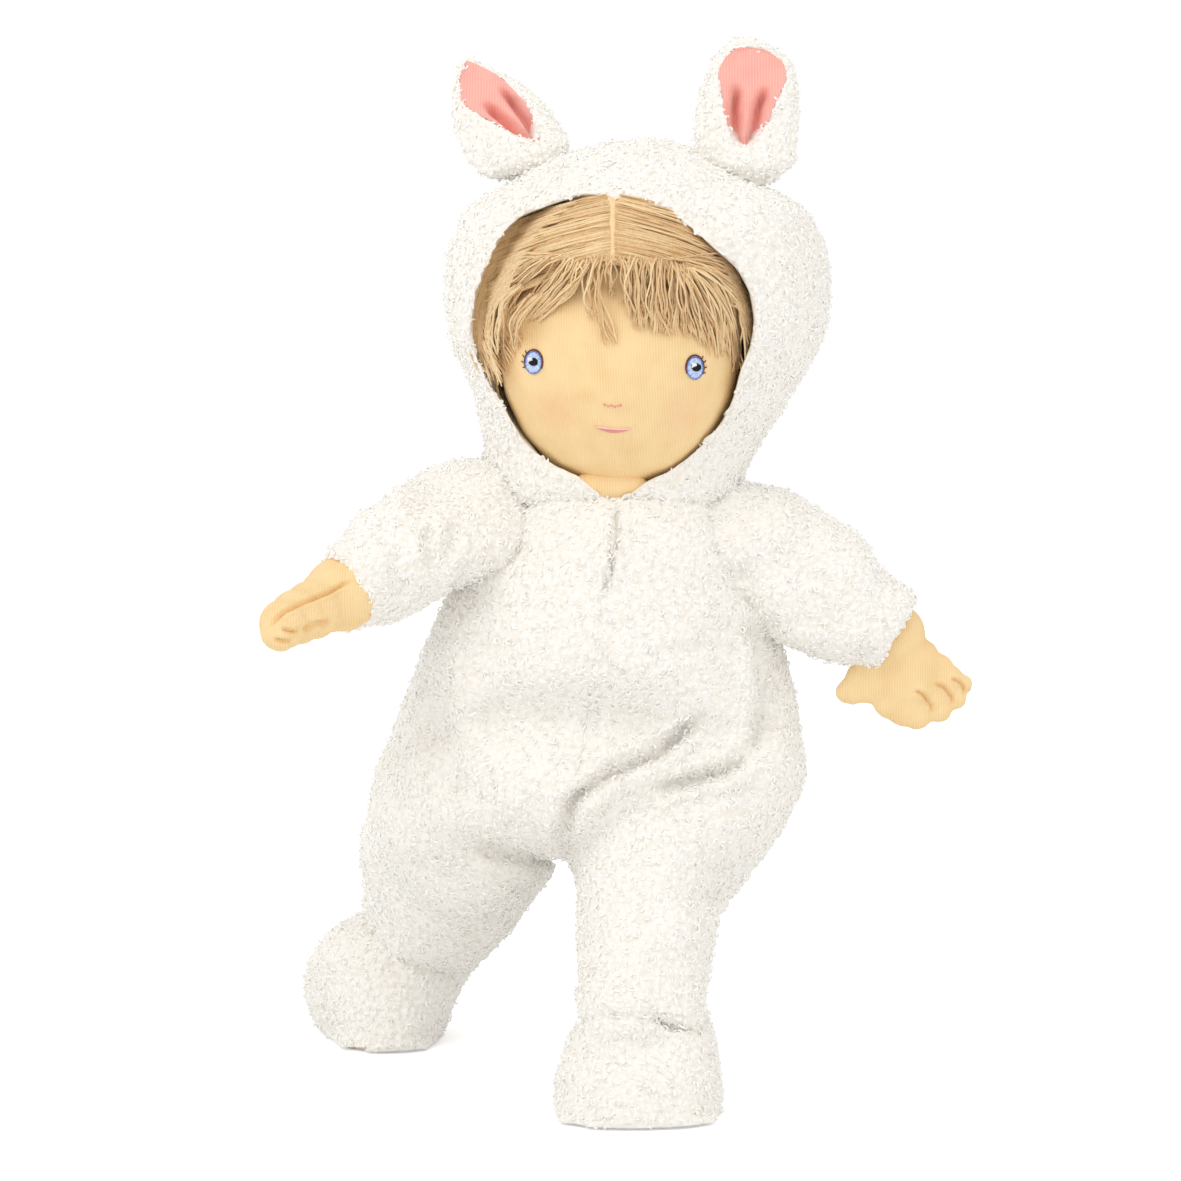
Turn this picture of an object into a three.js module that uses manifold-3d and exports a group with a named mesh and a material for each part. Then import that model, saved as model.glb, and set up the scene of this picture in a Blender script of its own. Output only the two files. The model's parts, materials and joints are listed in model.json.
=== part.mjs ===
// Rag doll in a plush rabbit suit: a stuffed jersey doll with yarn hair and embroidered features,
// dressed in a hooded one-piece suit with ears, standing in mid-stride.
// Millimetres, +Z up. The doll faces -Y, and its left side is +X.
import * as THREE from 'three';
import { mergeVertices } from 'three/addons/utils/BufferGeometryUtils.js';
import Module from 'manifold-3d';

const wasm = await Module();
wasm.setup();

// Cloth, seams and clearances
const PLUSH = 5; // plush cloth with its pile
const JERSEY = 1.2; // knitted skin
const THREAD = 1.8; // tie thread
const EMBROIDERY = 0.9; // raised stitches on the face
const TAPE = 0.7; // fastening tape
const LAY = 0.4; // gap between layers that lie on each other
const RUN = 0.8; // gap round a limb that swings in its socket

// Torso, from the hip line up to the neck
const HIP_HEIGHT = 116;
const WAIST_RISE = 44;
const CHEST_RISE = 30;
const SHOULDER_RISE = 18;
const NECK_RISE = 6;
const HIP_WIDTH = 148;
const HIP_DEPTH = 92;
const WAIST_WIDTH = 119;
const WAIST_DEPTH = 90;
const CHEST_WIDTH = 92;
const CHEST_DEPTH = 76;
const SHOULDER_WIDTH = 76;
const SHOULDER_DEPTH = 58;
const HIP_SIDE = -1.5; // the hips' place across, where the feet are set
const HIP_BACK = 27;
const LEAN_SIDE = 12; // how far the neck leans to the doll's left of the hips
const LEAN_FRONT = 18;
const HEM = 5; // lower edge of the trunk above the hip pivots

// Neck
const NECK_RADIUS = 14;
const NECK_SINK = 12; // length of neck that is sewn into the torso
const NECK_TIE_DROP = 2.5; // tie below the neck's pivot
const COLLAR_RADIUS = 34; // ball round the neck on which the hood rides

// Head, hair and face
const HEAD_WIDTH = 86;
const HEAD_DEPTH = 90;
const HEAD_HEIGHT = 103;
const HEAD_SET_FORWARD = 7; // head centre in front of the neck
const CHIN_RISE = 2; // lowest point of the head above the neck's pivot
const HEAD_YAW = -5;
const HEAD_ROLL = 2;
const HAIR = 5;
const FRINGE_LINE = 21; // hair line above the head's centre
const FRINGE_LENGTH = 15;
const FRINGE_SIDE_DROP = 24; // how much further the locks hang at the temples
const FRINGE_LOCKS = 11;
const PARTING_WIDTH = 2;
const HAIR_FRONT = 8; // how far the wig reaches in front of the head's centre
const HAIR_NAPE = 34; // and below it at the back
const EYE_SPACING = 0.63 * HEAD_WIDTH;
const EYE_DROP = 12.5; // below the head's centre
const EYE_WIDTH = 7;
const EYE_HEIGHT = 9.8;
const PUPIL_WIDTH = 3.2;
const PUPIL_HEIGHT = 4.2;
const NOSE_DROP = 25;
const NOSE_WIDTH = 5.6;
const MOUTH_DROP = 33.5;
const MOUTH_WIDTH = 12;
const LIP = 2.4; // height of the mouth at its middle

// Hood and ears
const HOOD_SIDE_SLACK = 14.5;
const HOOD_TOP_SLACK = 3;
const HOOD_DEPTH = 104;
const HOOD_SET_SIDE = 5; // hood centre from the head's centre
const HOOD_SET_BACK = 14;
const HOOD_RISE = 4;
const HOOD_HEM = 7; // lower edge of the hood above the chin
const FACE_OPENING_WIDTH = 97;
const FACE_OPENING_HEIGHT = 104;
const FACE_OPENING_DROP = 3;
const EAR_LENGTH = 45.5;
const EAR_WIDTH = 37;
const EAR_THICKNESS = 16;
const EAR_ROOT = 9; // radius of the sewn root
const EAR_BORDER = 5; // plush left round the lining
const EAR_SCOOP = 7; // depth of the hollow
const EAR_LINING = 1.4;
const EAR_SPREAD = 0.43 * HEAD_WIDTH; // each ear's place to the side of the hood's centre
const EAR_FORWARD = 7; // and in front of it
const LEFT_EAR_TILT = 5; // outwards
const LEFT_EAR_LEAN = 6; // backwards
const RIGHT_EAR_TILT = 33;
const RIGHT_EAR_LEAN = 24;

// Arms and hands
const SHOULDER_SPAN = 75;
const SHOULDER_DROP = 20; // arm pivots below the neck's pivot
const ARM_LENGTH = 69; // pivot to cuff
const ARMHOLE_RADIUS = 23;
const SLEEVE_RADIUS = 23.5;
const CUFF_RADIUS = 16.5;
const ARM_RADIUS = 12;
const ARM_CROWN = 1; // how much fuller the top of the stuffed arm is
const ARMHOLE_MOUTH = 17; // opening of the sleeve towards the trunk
const GATHER_RADIUS = 8; // gathered top of the arm
const GATHER_STEM = 5;
const WRIST_RADIUS = 10.4;
const WRIST_OUT = 5; // wrist that shows past the cuff
const PALM_LENGTH = 24;
const PALM_WIDTH = 27;
const PALM_THICKNESS = 15;
const FINGER_LENGTH = 14;
const FINGER_RADIUS = 4.6;
const THUMB_LENGTH = 24;
const THUMB_RADIUS = 5.2;
const THUMB_SPREAD = 74; // degrees away from the fingers
// At rest: degrees away from hanging, turned forwards, hand rolled and bent, and room to swing back
const LEFT_ARM = { out: 63, forward: 0, roll: -12, bend: 34, back: 20 };
const RIGHT_ARM = { out: 77, forward: 36, roll: 80, bend: 12, back: 4 };

// Legs and feet
const HIP_SPAN = 71;
const LEG_LENGTH = 93; // pivot to ankle
const HIP_RADIUS = 33.5;
const THIGH_RADIUS = 32;
const ANKLE_RADIUS = 24;
const LEG_RADIUS = 20; // stuffed leg inside the trouser
const LEG_CROWN = 1.5; // how much fuller its top is
const LEG_GATHER = 12;
const FOOT_LENGTH = 76;
const FOOT_WIDTH = 60;
const TOE_HEIGHT = 30;
const SOLE = 2;
// At rest: degrees forwards of hanging, apart, and toes turned, and the heel's length behind the ankle
const LEFT_LEG = { swing: 31, splay: -11, turn: 4, heel: 41 };
const RIGHT_LEG = { swing: -39, splay: 19, turn: 42, heel: 54 };

// Front opening of the suit
const SLIT_LENGTH = 56;
const SLIT_WIDTH = 1.2;
const FLAP_WIDTH = 18;
const TAPE_WIDTH = 11;

// How far the limbs move, in degrees, for the room that they need
const ARM_SWING = 40;
const ARM_LOWER = 2;
const SIT = 90; // thigh forward of straight down
const LEG_BACK = 48; // thigh behind straight down

const SIDES = 14; // facets round a limb
const INNER_SIDES = 10; // and round what it hides
const FAR = 300; // longer than the doll is wide
const rad = THREE.MathUtils.degToRad;
const X = new THREE.Vector3(1, 0, 0);
const Y = new THREE.Vector3(0, 1, 0);
const Z = new THREE.Vector3(0, 0, 1);

const cloth = (color, roughness) => new THREE.MeshStandardMaterial({ color, roughness });
const PLUSH_CLOTH = cloth(0xf6f2ea, 1);
const JERSEY_CLOTH = cloth(0xf3cd94, 0.9);
const STUFFING = cloth(0xefe9da, 1);
const YARN = cloth(0xcfa273, 0.95);
const LINING = cloth(0xf29a8c, 0.9);
const IRIS = cloth(0x86a4de, 0.6);
const PUPIL = cloth(0x14100f, 0.6);
const LIPS = cloth(0xe39a98, 0.7);
const TIE_THREAD = cloth(0xead9b8, 0.8);
const TAPE_CLOTH = cloth(0xf2f0ea, 0.7);
const SOLE_CLOTH = cloth(0xeee2cc, 1);

const doll = new THREE.Group();
doll.name = 'rag_doll';

// A geometry becomes a closed body that can be joined and cut, and comes back as a geometry.
function solid(geometry) {
  const bare = new THREE.BufferGeometry();
  bare.setAttribute('position', geometry.getAttribute('position').clone());
  if (geometry.index) bare.setIndex(geometry.index.clone());
  const merged = mergeVertices(bare, 1e-3);
  const corners = merged.index.array;
  const faces = [];
  for (let i = 0; i < corners.length; i += 3) {
    const [a, b, c] = corners.slice(i, i + 3);
    if (a !== b && b !== c && c !== a) faces.push(a, b, c);
  }
  const body = (order) =>
    new wasm.Manifold(
      new wasm.Mesh({
        numProp: 3,
        vertProperties: merged.attributes.position.array,
        triVerts: new Uint32Array(order),
      }),
    );
  const made = body(faces);
  return made.volume() > 0 ? made : body(faces.reverse());
}

function surface(made) {
  const mesh = made.getMesh();
  const geometry = new THREE.BufferGeometry();
  geometry.setAttribute('position', new THREE.BufferAttribute(mesh.vertProperties, 3));
  geometry.setIndex(new THREE.BufferAttribute(mesh.triVerts, 1));
  return geometry;
}

const cut = (first, ...tools) =>
  surface(tools.flat().reduce((rest, tool) => rest.subtract(solid(tool)), solid(first)));
const join = (first, ...others) =>
  surface(others.flat().reduce((whole, other) => whole.add(solid(other)), solid(first)));
const common = (first, ...others) =>
  surface(others.flat().reduce((shared, other) => shared.intersect(solid(other)), solid(first)));

// A closed skin over rings of equal counts, with a flat fan at each end.
function skin(rings) {
  const count = rings[0].length;
  const points = rings.flat();
  const faces = [];
  for (let ring = 0; ring + 1 < rings.length; ring++) {
    for (let i = 0; i < count; i++) {
      const a = ring * count + i;
      const b = ring * count + ((i + 1) % count);
      faces.push(a, b, a + count, b, b + count, a + count);
    }
  }
  for (const ring of [0, rings.length - 1]) {
    const middle = new THREE.Vector3();
    rings[ring].forEach((point) => middle.addScaledVector(point, 1 / count));
    points.push(middle);
    for (let i = 0; i < count; i++) {
      const a = ring * count + i;
      const b = ring * count + ((i + 1) % count);
      faces.push(...(ring === 0 ? [b, a] : [a, b]), points.length - 1);
    }
  }
  return new THREE.BufferGeometry().setFromPoints(points).setIndex(faces);
}

// Plain shapes
const ball = (centre, radius, sides = SIDES) =>
  new THREE.SphereGeometry(radius, sides, sides / 2).rotateX(rad(90)).translate(...centre);
function block(low, high) {
  const size = high.map((top, i) => top - low[i]);
  return new THREE.BoxGeometry(...size).translate(...high.map((top, i) => (top + low[i]) / 2));
}
// A round hollow whose flat facets clear the whole ball of that radius
const hollow = (centre, radius, sides = SIDES + 4) =>
  ball(centre, radius / Math.cos(Math.PI / sides) ** 2, sides);
const below = (height) => block([-FAR, -FAR, -FAR], [FAR, FAR, height]);
const turned = (profile, sides = SIDES) => {
  const points = profile.map(([radius, height]) => new THREE.Vector2(radius, height));
  return new THREE.LatheGeometry(points, sides).rotateX(rad(90));
};
const arc = (radius, from, to, count) =>
  Array.from({ length: count + 1 }, (_, i) => {
    const angle = rad(from + ((to - from) * i) / count);
    return [Math.max(0, radius * Math.sin(angle)), radius * Math.cos(angle)];
  });
const ring = (radius, thickness, height) =>
  new THREE.TorusGeometry(radius, thickness / 2, 5, SIDES).translate(0, 0, height);
// A prism through the head along Y, from an outline in x and z as the face is seen
const prism = (outline, front, back) =>
  new THREE.ExtrudeGeometry(new THREE.Shape(outline), { depth: back - front, bevelEnabled: false })
    .rotateX(rad(90))
    .translate(0, back, 0);
const oval = (width, height, x, z, count = 16) =>
  new THREE.EllipseCurve(x, z, width / 2, height / 2, 0, 2 * Math.PI)
    .getPoints(count)
    .slice(0, count);

// Each moving body has its own frame, and a shape can be carried from one frame to another.
function frame(position, turn = new THREE.Quaternion()) {
  const group = new THREE.Group();
  group.position.copy(position);
  group.quaternion.copy(turn);
  group.updateMatrix();
  doll.add(group);
  return group;
}
const carried = (geometry, from, to) =>
  geometry.clone().applyMatrix4(to.matrix.clone().invert().multiply(from.matrix));
const swung = (geometry, pivot, axis, degrees) =>
  geometry
    .clone()
    .translate(...pivot.clone().negate())
    .applyQuaternion(new THREE.Quaternion().setFromAxisAngle(axis, rad(degrees)))
    .translate(...pivot);
function piece(group, name, geometry, material) {
  const mesh = new THREE.Mesh(surface(solid(geometry)), material);
  mesh.name = name;
  group.add(mesh);
}

// Places worked out from the driving dimensions
const chestHeight = HIP_HEIGHT + WAIST_RISE + CHEST_RISE;
const shoulderHeight = chestHeight + SHOULDER_RISE;
const neckHeight = shoulderHeight + NECK_RISE;
function spineAt(height) {
  const share = (height - HIP_HEIGHT) / (neckHeight - HIP_HEIGHT);
  return new THREE.Vector3(HIP_SIDE + LEAN_SIDE * share, HIP_BACK - LEAN_FRONT * share, height);
}
const beside = (height, span, side) => spineAt(height).addScaledVector(X, (side * span) / 2);
const shoulderPivot = (side) => beside(neckHeight - SHOULDER_DROP, SHOULDER_SPAN, side);
const hipPivot = (side) => beside(HIP_HEIGHT, HIP_SPAN, side);
const neckPivot = spineAt(neckHeight);
const headCentre = neckPivot
  .clone()
  .addScaledVector(Y, -HEAD_SET_FORWARD)
  .addScaledVector(Z, CHIN_RISE + HEAD_HEIGHT / 2);

const torsoFrame = frame(new THREE.Vector3());
const neckFrame = frame(neckPivot);
const headTurn = new THREE.Euler(0, rad(HEAD_ROLL), rad(HEAD_YAW), 'ZYX');
const headFrame = frame(headCentre, new THREE.Quaternion().setFromEuler(headTurn));

// Torso: a pear of oval sections along the leaning spine, grown outwards or inwards.
function torsoForm(grow, sides = SIDES + 4) {
  const sections = [
    [HIP_HEIGHT - WAIST_RISE * 0.27, HIP_WIDTH * 0.9, HIP_DEPTH * 0.9],
    [HIP_HEIGHT + WAIST_RISE * 0.18, HIP_WIDTH, HIP_DEPTH],
    [HIP_HEIGHT + WAIST_RISE * 0.55, HIP_WIDTH * 0.96, HIP_DEPTH],
    [HIP_HEIGHT + WAIST_RISE, WAIST_WIDTH, WAIST_DEPTH],
    [chestHeight - CHEST_RISE * 0.45, (WAIST_WIDTH + CHEST_WIDTH) * 0.486, CHEST_DEPTH * 1.05],
    [chestHeight, CHEST_WIDTH, CHEST_DEPTH],
    [shoulderHeight + grow * 0.6, SHOULDER_WIDTH, SHOULDER_DEPTH],
    [neckHeight - 0.5 + grow, SHOULDER_WIDTH * 0.5, SHOULDER_DEPTH * 0.6],
  ];
  return skin(
    sections.map(([height, width, depth]) => {
      const centre = spineAt(height);
      return new THREE.EllipseCurve(centre.x, centre.y, width / 2 + grow, depth / 2 + grow)
        .getPoints(sides)
        .slice(0, sides)
        .map((point) => new THREE.Vector3(point.x, point.y, height));
    }),
  );
}

// Head: an egg that is fullest at the cheeks.
function headForm(grow) {
  const egg = new THREE.SphereGeometry(1, SIDES + 4, 11).rotateX(rad(90));
  const at = egg.getAttribute('position');
  for (let i = 0; i < at.count; i++) {
    const z = at.getZ(i);
    const width = HEAD_WIDTH * (1 - 0.09 * z - 0.05 * z * z);
    const depth = HEAD_DEPTH * (1 - 0.03 * z);
    at.setX(i, at.getX(i) * (width / 2 + grow));
    at.setY(i, at.getY(i) * (depth / 2 + grow));
    at.setZ(i, z * (HEAD_HEIGHT / 2 + grow));
  }
  return egg;
}

// Limbs hang along -Z from a ball at the pivot, then swell and taper through [distance, radius].
function limbForm(radius, stations, grow, extend = 0, sides = SIDES) {
  const top = stations[0][1];
  const start = [Math.sqrt(radius * radius - top * top), top];
  const swell = new THREE.SplineCurve(
    [start, ...stations.slice(1)].map(([along, r]) => new THREE.Vector2(r, -along)),
  );
  const side = swell.getPoints(5).map((p) => [p.x + grow, p.y]);
  const [endRadius, end] = side[side.length - 1];
  const crown = arc(radius + grow, 0, 180 - THREE.MathUtils.radToDeg(Math.asin(top / radius)), 4);
  const tail = extend ? [[endRadius, end - extend]] : [];
  return turned([...crown.slice(0, -1), ...side, ...tail, [0, end - extend]], sides);
}
const sleeveStations = [
  [0, ARMHOLE_RADIUS - 2.4],
  [ARM_LENGTH * 0.52, SLEEVE_RADIUS],
  [ARM_LENGTH * 0.8, (SLEEVE_RADIUS + CUFF_RADIUS) / 2 + 0.4],
  [ARM_LENGTH, CUFF_RADIUS],
];
const trouserStations = [
  [0, THIGH_RADIUS],
  [LEG_LENGTH * 0.48, (THIGH_RADIUS + ANKLE_RADIUS) / 2 + 2.5],
  [LEG_LENGTH * 0.8, ANKLE_RADIUS + 1],
  [LEG_LENGTH, ANKLE_RADIUS],
];
const armStations = [
  [0, ARM_RADIUS],
  [ARM_LENGTH * 0.5, ARM_RADIUS + 0.5],
  [ARM_LENGTH - WRIST_OUT, WRIST_RADIUS - 0.5],
];
const legStations = [
  [0, LEG_RADIUS],
  [LEG_LENGTH * 0.5, LEG_RADIUS - 1],
  [LEG_LENGTH, LEG_RADIUS - 4],
];
const sleeveForm = (grow, extend) => limbForm(ARMHOLE_RADIUS, sleeveStations, grow, extend);
const trouserForm = (grow, extend) => limbForm(HIP_RADIUS, trouserStations, grow, extend);
const armForm = (grow, extend) =>
  limbForm(ARM_RADIUS + ARM_CROWN, armStations, grow, extend, INNER_SIDES);
const legForm = (grow, extend) =>
  limbForm(LEG_RADIUS + LEG_CROWN, legStations, grow, extend, INNER_SIDES);

// Directions of the limbs at rest
const about = (axis, degrees) => new THREE.Quaternion().setFromAxisAngle(axis, rad(degrees));
const armPose = (side) => (side > 0 ? LEFT_ARM : RIGHT_ARM);
const legPose = (side) => (side > 0 ? LEFT_LEG : RIGHT_LEG);
const armTurn = (side) =>
  about(Z, -side * armPose(side).forward).multiply(about(Y, -side * armPose(side).out));
const legTurn = (side) =>
  about(X, -legPose(side).swing).multiply(about(Y, -side * legPose(side).splay));

// Room in the torso for the sockets and for the limbs as they swing
function armRoom(side, armFrame) {
  const pivot = shoulderPivot(side);
  const arm = carried(limbForm(ARMHOLE_RADIUS - 1, sleeveStations, RUN, 12), armFrame, torsoFrame);
  const lowered = swung(arm, pivot, Y, side * ARM_LOWER);
  const swings = [-ARM_SWING / 2, 0, armPose(side).back];
  return [hollow(pivot, ARMHOLE_RADIUS + LAY), ...swings.map((a) => swung(lowered, pivot, X, a))];
}
function legRoom(side, legFrame) {
  const pivot = hipPivot(side);
  const stations = [0.05, 0.14, 0.3, 0.48, 0.7].map((share) => share * LEG_LENGTH);
  const reach = THIGH_RADIUS + RUN;
  const outline = [
    ...stations.map((along) => new THREE.Vector3(reach, 0, -along)),
    ...stations.reverse().map((along) => new THREE.Vector3(-reach, 0, -along)),
  ].map((point) => point.applyMatrix4(legFrame.matrix));
  const steps = 10;
  const rings = Array.from({ length: steps + 1 }, (_, i) => {
    const swing = -LEG_BACK + ((SIT + LEG_BACK) * i) / steps;
    const turn = about(X, legPose(side).swing - swing);
    return outline.map((point) => point.clone().sub(pivot).applyQuaternion(turn).add(pivot));
  });
  const leg = carried(limbForm(HIP_RADIUS - 1, trouserStations, RUN), legFrame, torsoFrame);
  const back = swung(leg, pivot, X, legPose(side).swing + LEG_BACK);
  const front = swung(leg, pivot, X, legPose(side).swing - SIT);
  return [hollow(pivot, HIP_RADIUS + LAY), skin(rings), back, front];
}

// Torso pieces: the plush suit with its front opening, and the stuffed jersey body inside.
function dressTorso(armFrames, legFrames) {
  const lap = block(
    [HIP_SIDE - HIP_SPAN / 2, -FAR, 0],
    [HIP_SIDE + HIP_SPAN / 2, HIP_BACK - HIP_RADIUS / 2, HIP_HEIGHT + THIGH_RADIUS + RUN],
  );
  const room = [
    below(HIP_HEIGHT + HEM),
    lap,
    ...legFrames.flatMap(([side, group]) => legRoom(side, group)),
  ];
  const arms = armFrames.flatMap(([side, group]) => armRoom(side, group));
  const bore = (radius) =>
    new THREE.CylinderGeometry(radius, radius, 2 * NECK_SINK + 2 * LAY, INNER_SIDES * 2)
      .rotateX(rad(90))
      .translate(...neckPivot);
  const slitFoot = shoulderHeight - SLIT_LENGTH;
  const slitX = spineAt((neckHeight + slitFoot) / 2).x;
  const panel = (width, foot) =>
    block([slitX - width / 2, -FAR, foot], [slitX + width / 2, 0, neckHeight + NECK_SINK]);
  const layer = (outer, thickness, front) =>
    cut(common(torsoForm(outer), front), torsoForm(outer - thickness));
  const neckline = bore(NECK_RADIUS + THREAD + LAY + RUN);
  const flapOuter = -PLUSH + JERSEY;
  const loopOuter = flapOuter + TAPE + LAY / 2;
  const hookOuter = loopOuter + TAPE + LAY / 2;
  const pocket = layer(hookOuter + LAY / 2, PLUSH, panel(FLAP_WIDTH + 2 * LAY, slitFoot - PLUSH - LAY));
  const slit = panel(SLIT_WIDTH, slitFoot);
  const suit = cut(torsoForm(0), torsoForm(-PLUSH), room, arms, neckline, pocket, slit);
  piece(torsoFrame, 'suit_body', suit, PLUSH_CLOTH);
  const flap = layer(flapOuter, JERSEY, panel(FLAP_WIDTH, slitFoot - PLUSH));
  const tape = panel(TAPE_WIDTH, slitFoot);
  piece(torsoFrame, 'placket_flap', cut(flap, neckline), JERSEY_CLOTH);
  piece(torsoFrame, 'loop_tape', cut(layer(loopOuter, TAPE, tape), neckline), TAPE_CLOTH);
  piece(torsoFrame, 'hook_tape', cut(layer(hookOuter, TAPE, tape), neckline), TAPE_CLOTH);
  const inner = (depth) => torsoForm(-PLUSH - LAY - depth);
  const trunkFoot = below(HIP_HEIGHT + HIP_RADIUS + LAY);
  const neckHole = bore(NECK_RADIUS + LAY);
  const trunk = [trunkFoot, arms, neckHole].flat();
  piece(torsoFrame, 'torso_skin', cut(inner(0), inner(JERSEY), trunk), JERSEY_CLOTH);
  piece(torsoFrame, 'torso_stuffing', cut(inner(JERSEY + LAY), trunk), STUFFING);
}

// Neck: a stuffed roll with a ball top on which the head nods, tied with thread.
function buildNeck() {
  const roll = [[0, -NECK_SINK], [NECK_RADIUS, -NECK_SINK], ...arc(NECK_RADIUS, 90, 0, 5)];
  piece(neckFrame, 'neck_stuffing', turned(roll, INNER_SIDES * 2), JERSEY_CLOTH);
  const tie = ring(NECK_RADIUS + LAY + THREAD / 2, THREAD, -NECK_TIE_DROP);
  piece(neckFrame, 'neck_tie', tie, TIE_THREAD);
}

// Head pieces: stuffed ball, jersey skin, wig, fringe and stitched features.
function buildHead() {
  const socket = carried(hollow(neckPivot, NECK_RADIUS + LAY), torsoFrame, headFrame);
  piece(headFrame, 'head_stuffing', cut(headForm(-JERSEY - LAY), socket), STUFFING);
  piece(headFrame, 'head_skin', cut(headForm(0), headForm(-JERSEY), socket), JERSEY_CLOTH);

  const side = HEAD_WIDTH / 2 + HAIR + LAY;
  const face = block([-side, -FAR, -FAR], [side, -HAIR_FRONT, FRINGE_LINE]);
  const parting = new THREE.TorusGeometry(HEAD_HEIGHT / 2 + HAIR, PARTING_WIDTH / 2, 5, 2 * SIDES)
    .rotateY(rad(90))
    .scale(1, HEAD_DEPTH / HEAD_HEIGHT, 1);
  const shell = [headForm(LAY), face, below(-HAIR_NAPE)];
  piece(headFrame, 'hair', cut(headForm(HAIR), shell, parting), YARN);

  const halfWidth = HEAD_WIDTH / 2 + HAIR;
  const steps = 4 * FRINGE_LOCKS;
  const edge = Array.from({ length: steps + 1 }, (_, i) => {
    const share = (2 * i) / steps - 1;
    const lock = 2 * Math.abs(Math.sin((Math.PI * FRINGE_LOCKS * i) / steps));
    const drop = FRINGE_LENGTH + FRINGE_SIDE_DROP * share * share + lock;
    return new THREE.Vector2(share * halfWidth, FRINGE_LINE - drop);
  });
  const hairLine = FRINGE_LINE - LAY;
  const outline = [...edge, new THREE.Vector2(halfWidth, hairLine), new THREE.Vector2(-halfWidth, hairLine)];
  const front = prism(outline, -FAR, -HAIR_FRONT - LAY);
  piece(headFrame, 'fringe', cut(common(headForm(HAIR), front), headForm(LAY)), YARN);

  const stitched = (shape, lift = 0) => {
    const raised = common(headForm(LAY + lift + EMBROIDERY), prism(shape, -FAR, 0));
    return cut(raised, headForm(LAY + lift));
  };
  for (const [name, x] of [['left', EYE_SPACING / 2], ['right', -EYE_SPACING / 2]]) {
    const iris = stitched(oval(EYE_WIDTH, EYE_HEIGHT, x, -EYE_DROP));
    const pupil = oval(PUPIL_WIDTH, PUPIL_HEIGHT, x, -EYE_DROP, 10);
    piece(headFrame, `${name}_eye`, iris, IRIS);
    piece(headFrame, `${name}_pupil`, stitched(pupil, EMBROIDERY + LAY), PUPIL);
  }
  piece(headFrame, 'nose_stitch', stitched(oval(NOSE_WIDTH, LIP * 0.7, 0, -NOSE_DROP, 10)), LIPS);
  const smile = new THREE.Shape();
  smile.moveTo(-MOUTH_WIDTH / 2, -MOUTH_DROP + LIP);
  smile.quadraticCurveTo(0, -MOUTH_DROP - 1.5 * LIP, MOUTH_WIDTH / 2, -MOUTH_DROP + LIP);
  smile.quadraticCurveTo(0, -MOUTH_DROP + LIP / 2, -MOUTH_WIDTH / 2, -MOUTH_DROP + LIP);
  piece(headFrame, 'mouth_stitch', stitched(smile.getPoints(5).slice(0, -1)), LIPS);
}

// Hood: a plush shell with a full rim round the face, riding on the collar ball, with a seat for each ear.
const hoodCentre = new THREE.Vector3(HOOD_SET_SIDE, HOOD_SET_BACK, HOOD_RISE);
const hoodHalf = [
  HEAD_WIDTH / 2 + HAIR + HOOD_SIDE_SLACK + PLUSH,
  HOOD_DEPTH / 2,
  HEAD_HEIGHT / 2 + HAIR + HOOD_TOP_SLACK + PLUSH,
];
const hoodForm = (grow) =>
  new THREE.SphereGeometry(1, SIDES + 4, 12)
    .rotateX(rad(90))
    .scale(...hoodHalf.map((half) => half + grow))
    .translate(...hoodCentre);
function earSeat(side) {
  const across = EAR_SPREAD / hoodHalf[0];
  const forward = EAR_FORWARD / hoodHalf[1];
  const rise = Math.sqrt(1 - across * across - forward * forward) * hoodHalf[2];
  return new THREE.Vector3(side * EAR_SPREAD, -EAR_FORWARD, rise + EAR_ROOT / 2)
    .add(hoodCentre)
    .applyMatrix4(headFrame.matrix);
}
function buildHood(earFrames) {
  const collar = carried(ball(neckPivot, COLLAR_RADIUS + RUN, 2 * SIDES), torsoFrame, headFrame);
  const opening = prism(
    oval(FACE_OPENING_WIDTH, FACE_OPENING_HEIGHT, 0, -FACE_OPENING_DROP, 2 * SIDES),
    -FAR,
    0,
  );
  const seats = earFrames.map((ear) => carried(hollow([0, 0, 0], EAR_ROOT + LAY, SIDES), ear, headFrame));
  const behindRim = block([-FAR, 0, -FAR], [FAR, FAR, FAR]);
  const inside = [common(hoodForm(-PLUSH), behindRim), headForm(HAIR + LAY)];
  const hood = cut(hoodForm(0), inside, opening, collar, seats, below(HOOD_HEM - HEAD_HEIGHT / 2));
  piece(headFrame, 'hood', hood, PLUSH_CLOTH);
}

// Ear: a plush leaf on a round root, with a velour lining laid in its hollow.
function earForm() {
  const steps = 9;
  const rings = Array.from({ length: steps + 1 }, (_, i) => {
    const share = i / steps;
    const belly = THREE.MathUtils.smoothstep(share, 0.1, 0.6);
    const close = Math.sqrt(1 - 0.97 * Math.max(0, (share - 0.62) / 0.38) ** 2);
    const root = Math.sqrt(1 - 0.97 * Math.max(0, (0.15 - share) / 0.15) ** 2);
    const width = THREE.MathUtils.lerp(EAR_ROOT, EAR_WIDTH / 2, belly) * close * root;
    const depth = THREE.MathUtils.lerp(EAR_ROOT, EAR_THICKNESS / 2, belly) * close * root;
    const height = -EAR_ROOT + (EAR_LENGTH + EAR_ROOT) * share;
    return new THREE.EllipseCurve(0, 0, width, depth)
      .getPoints(INNER_SIDES)
      .slice(0, INNER_SIDES)
      .map((point) => new THREE.Vector3(point.x, point.y, height));
  });
  return skin(rings);
}
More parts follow.
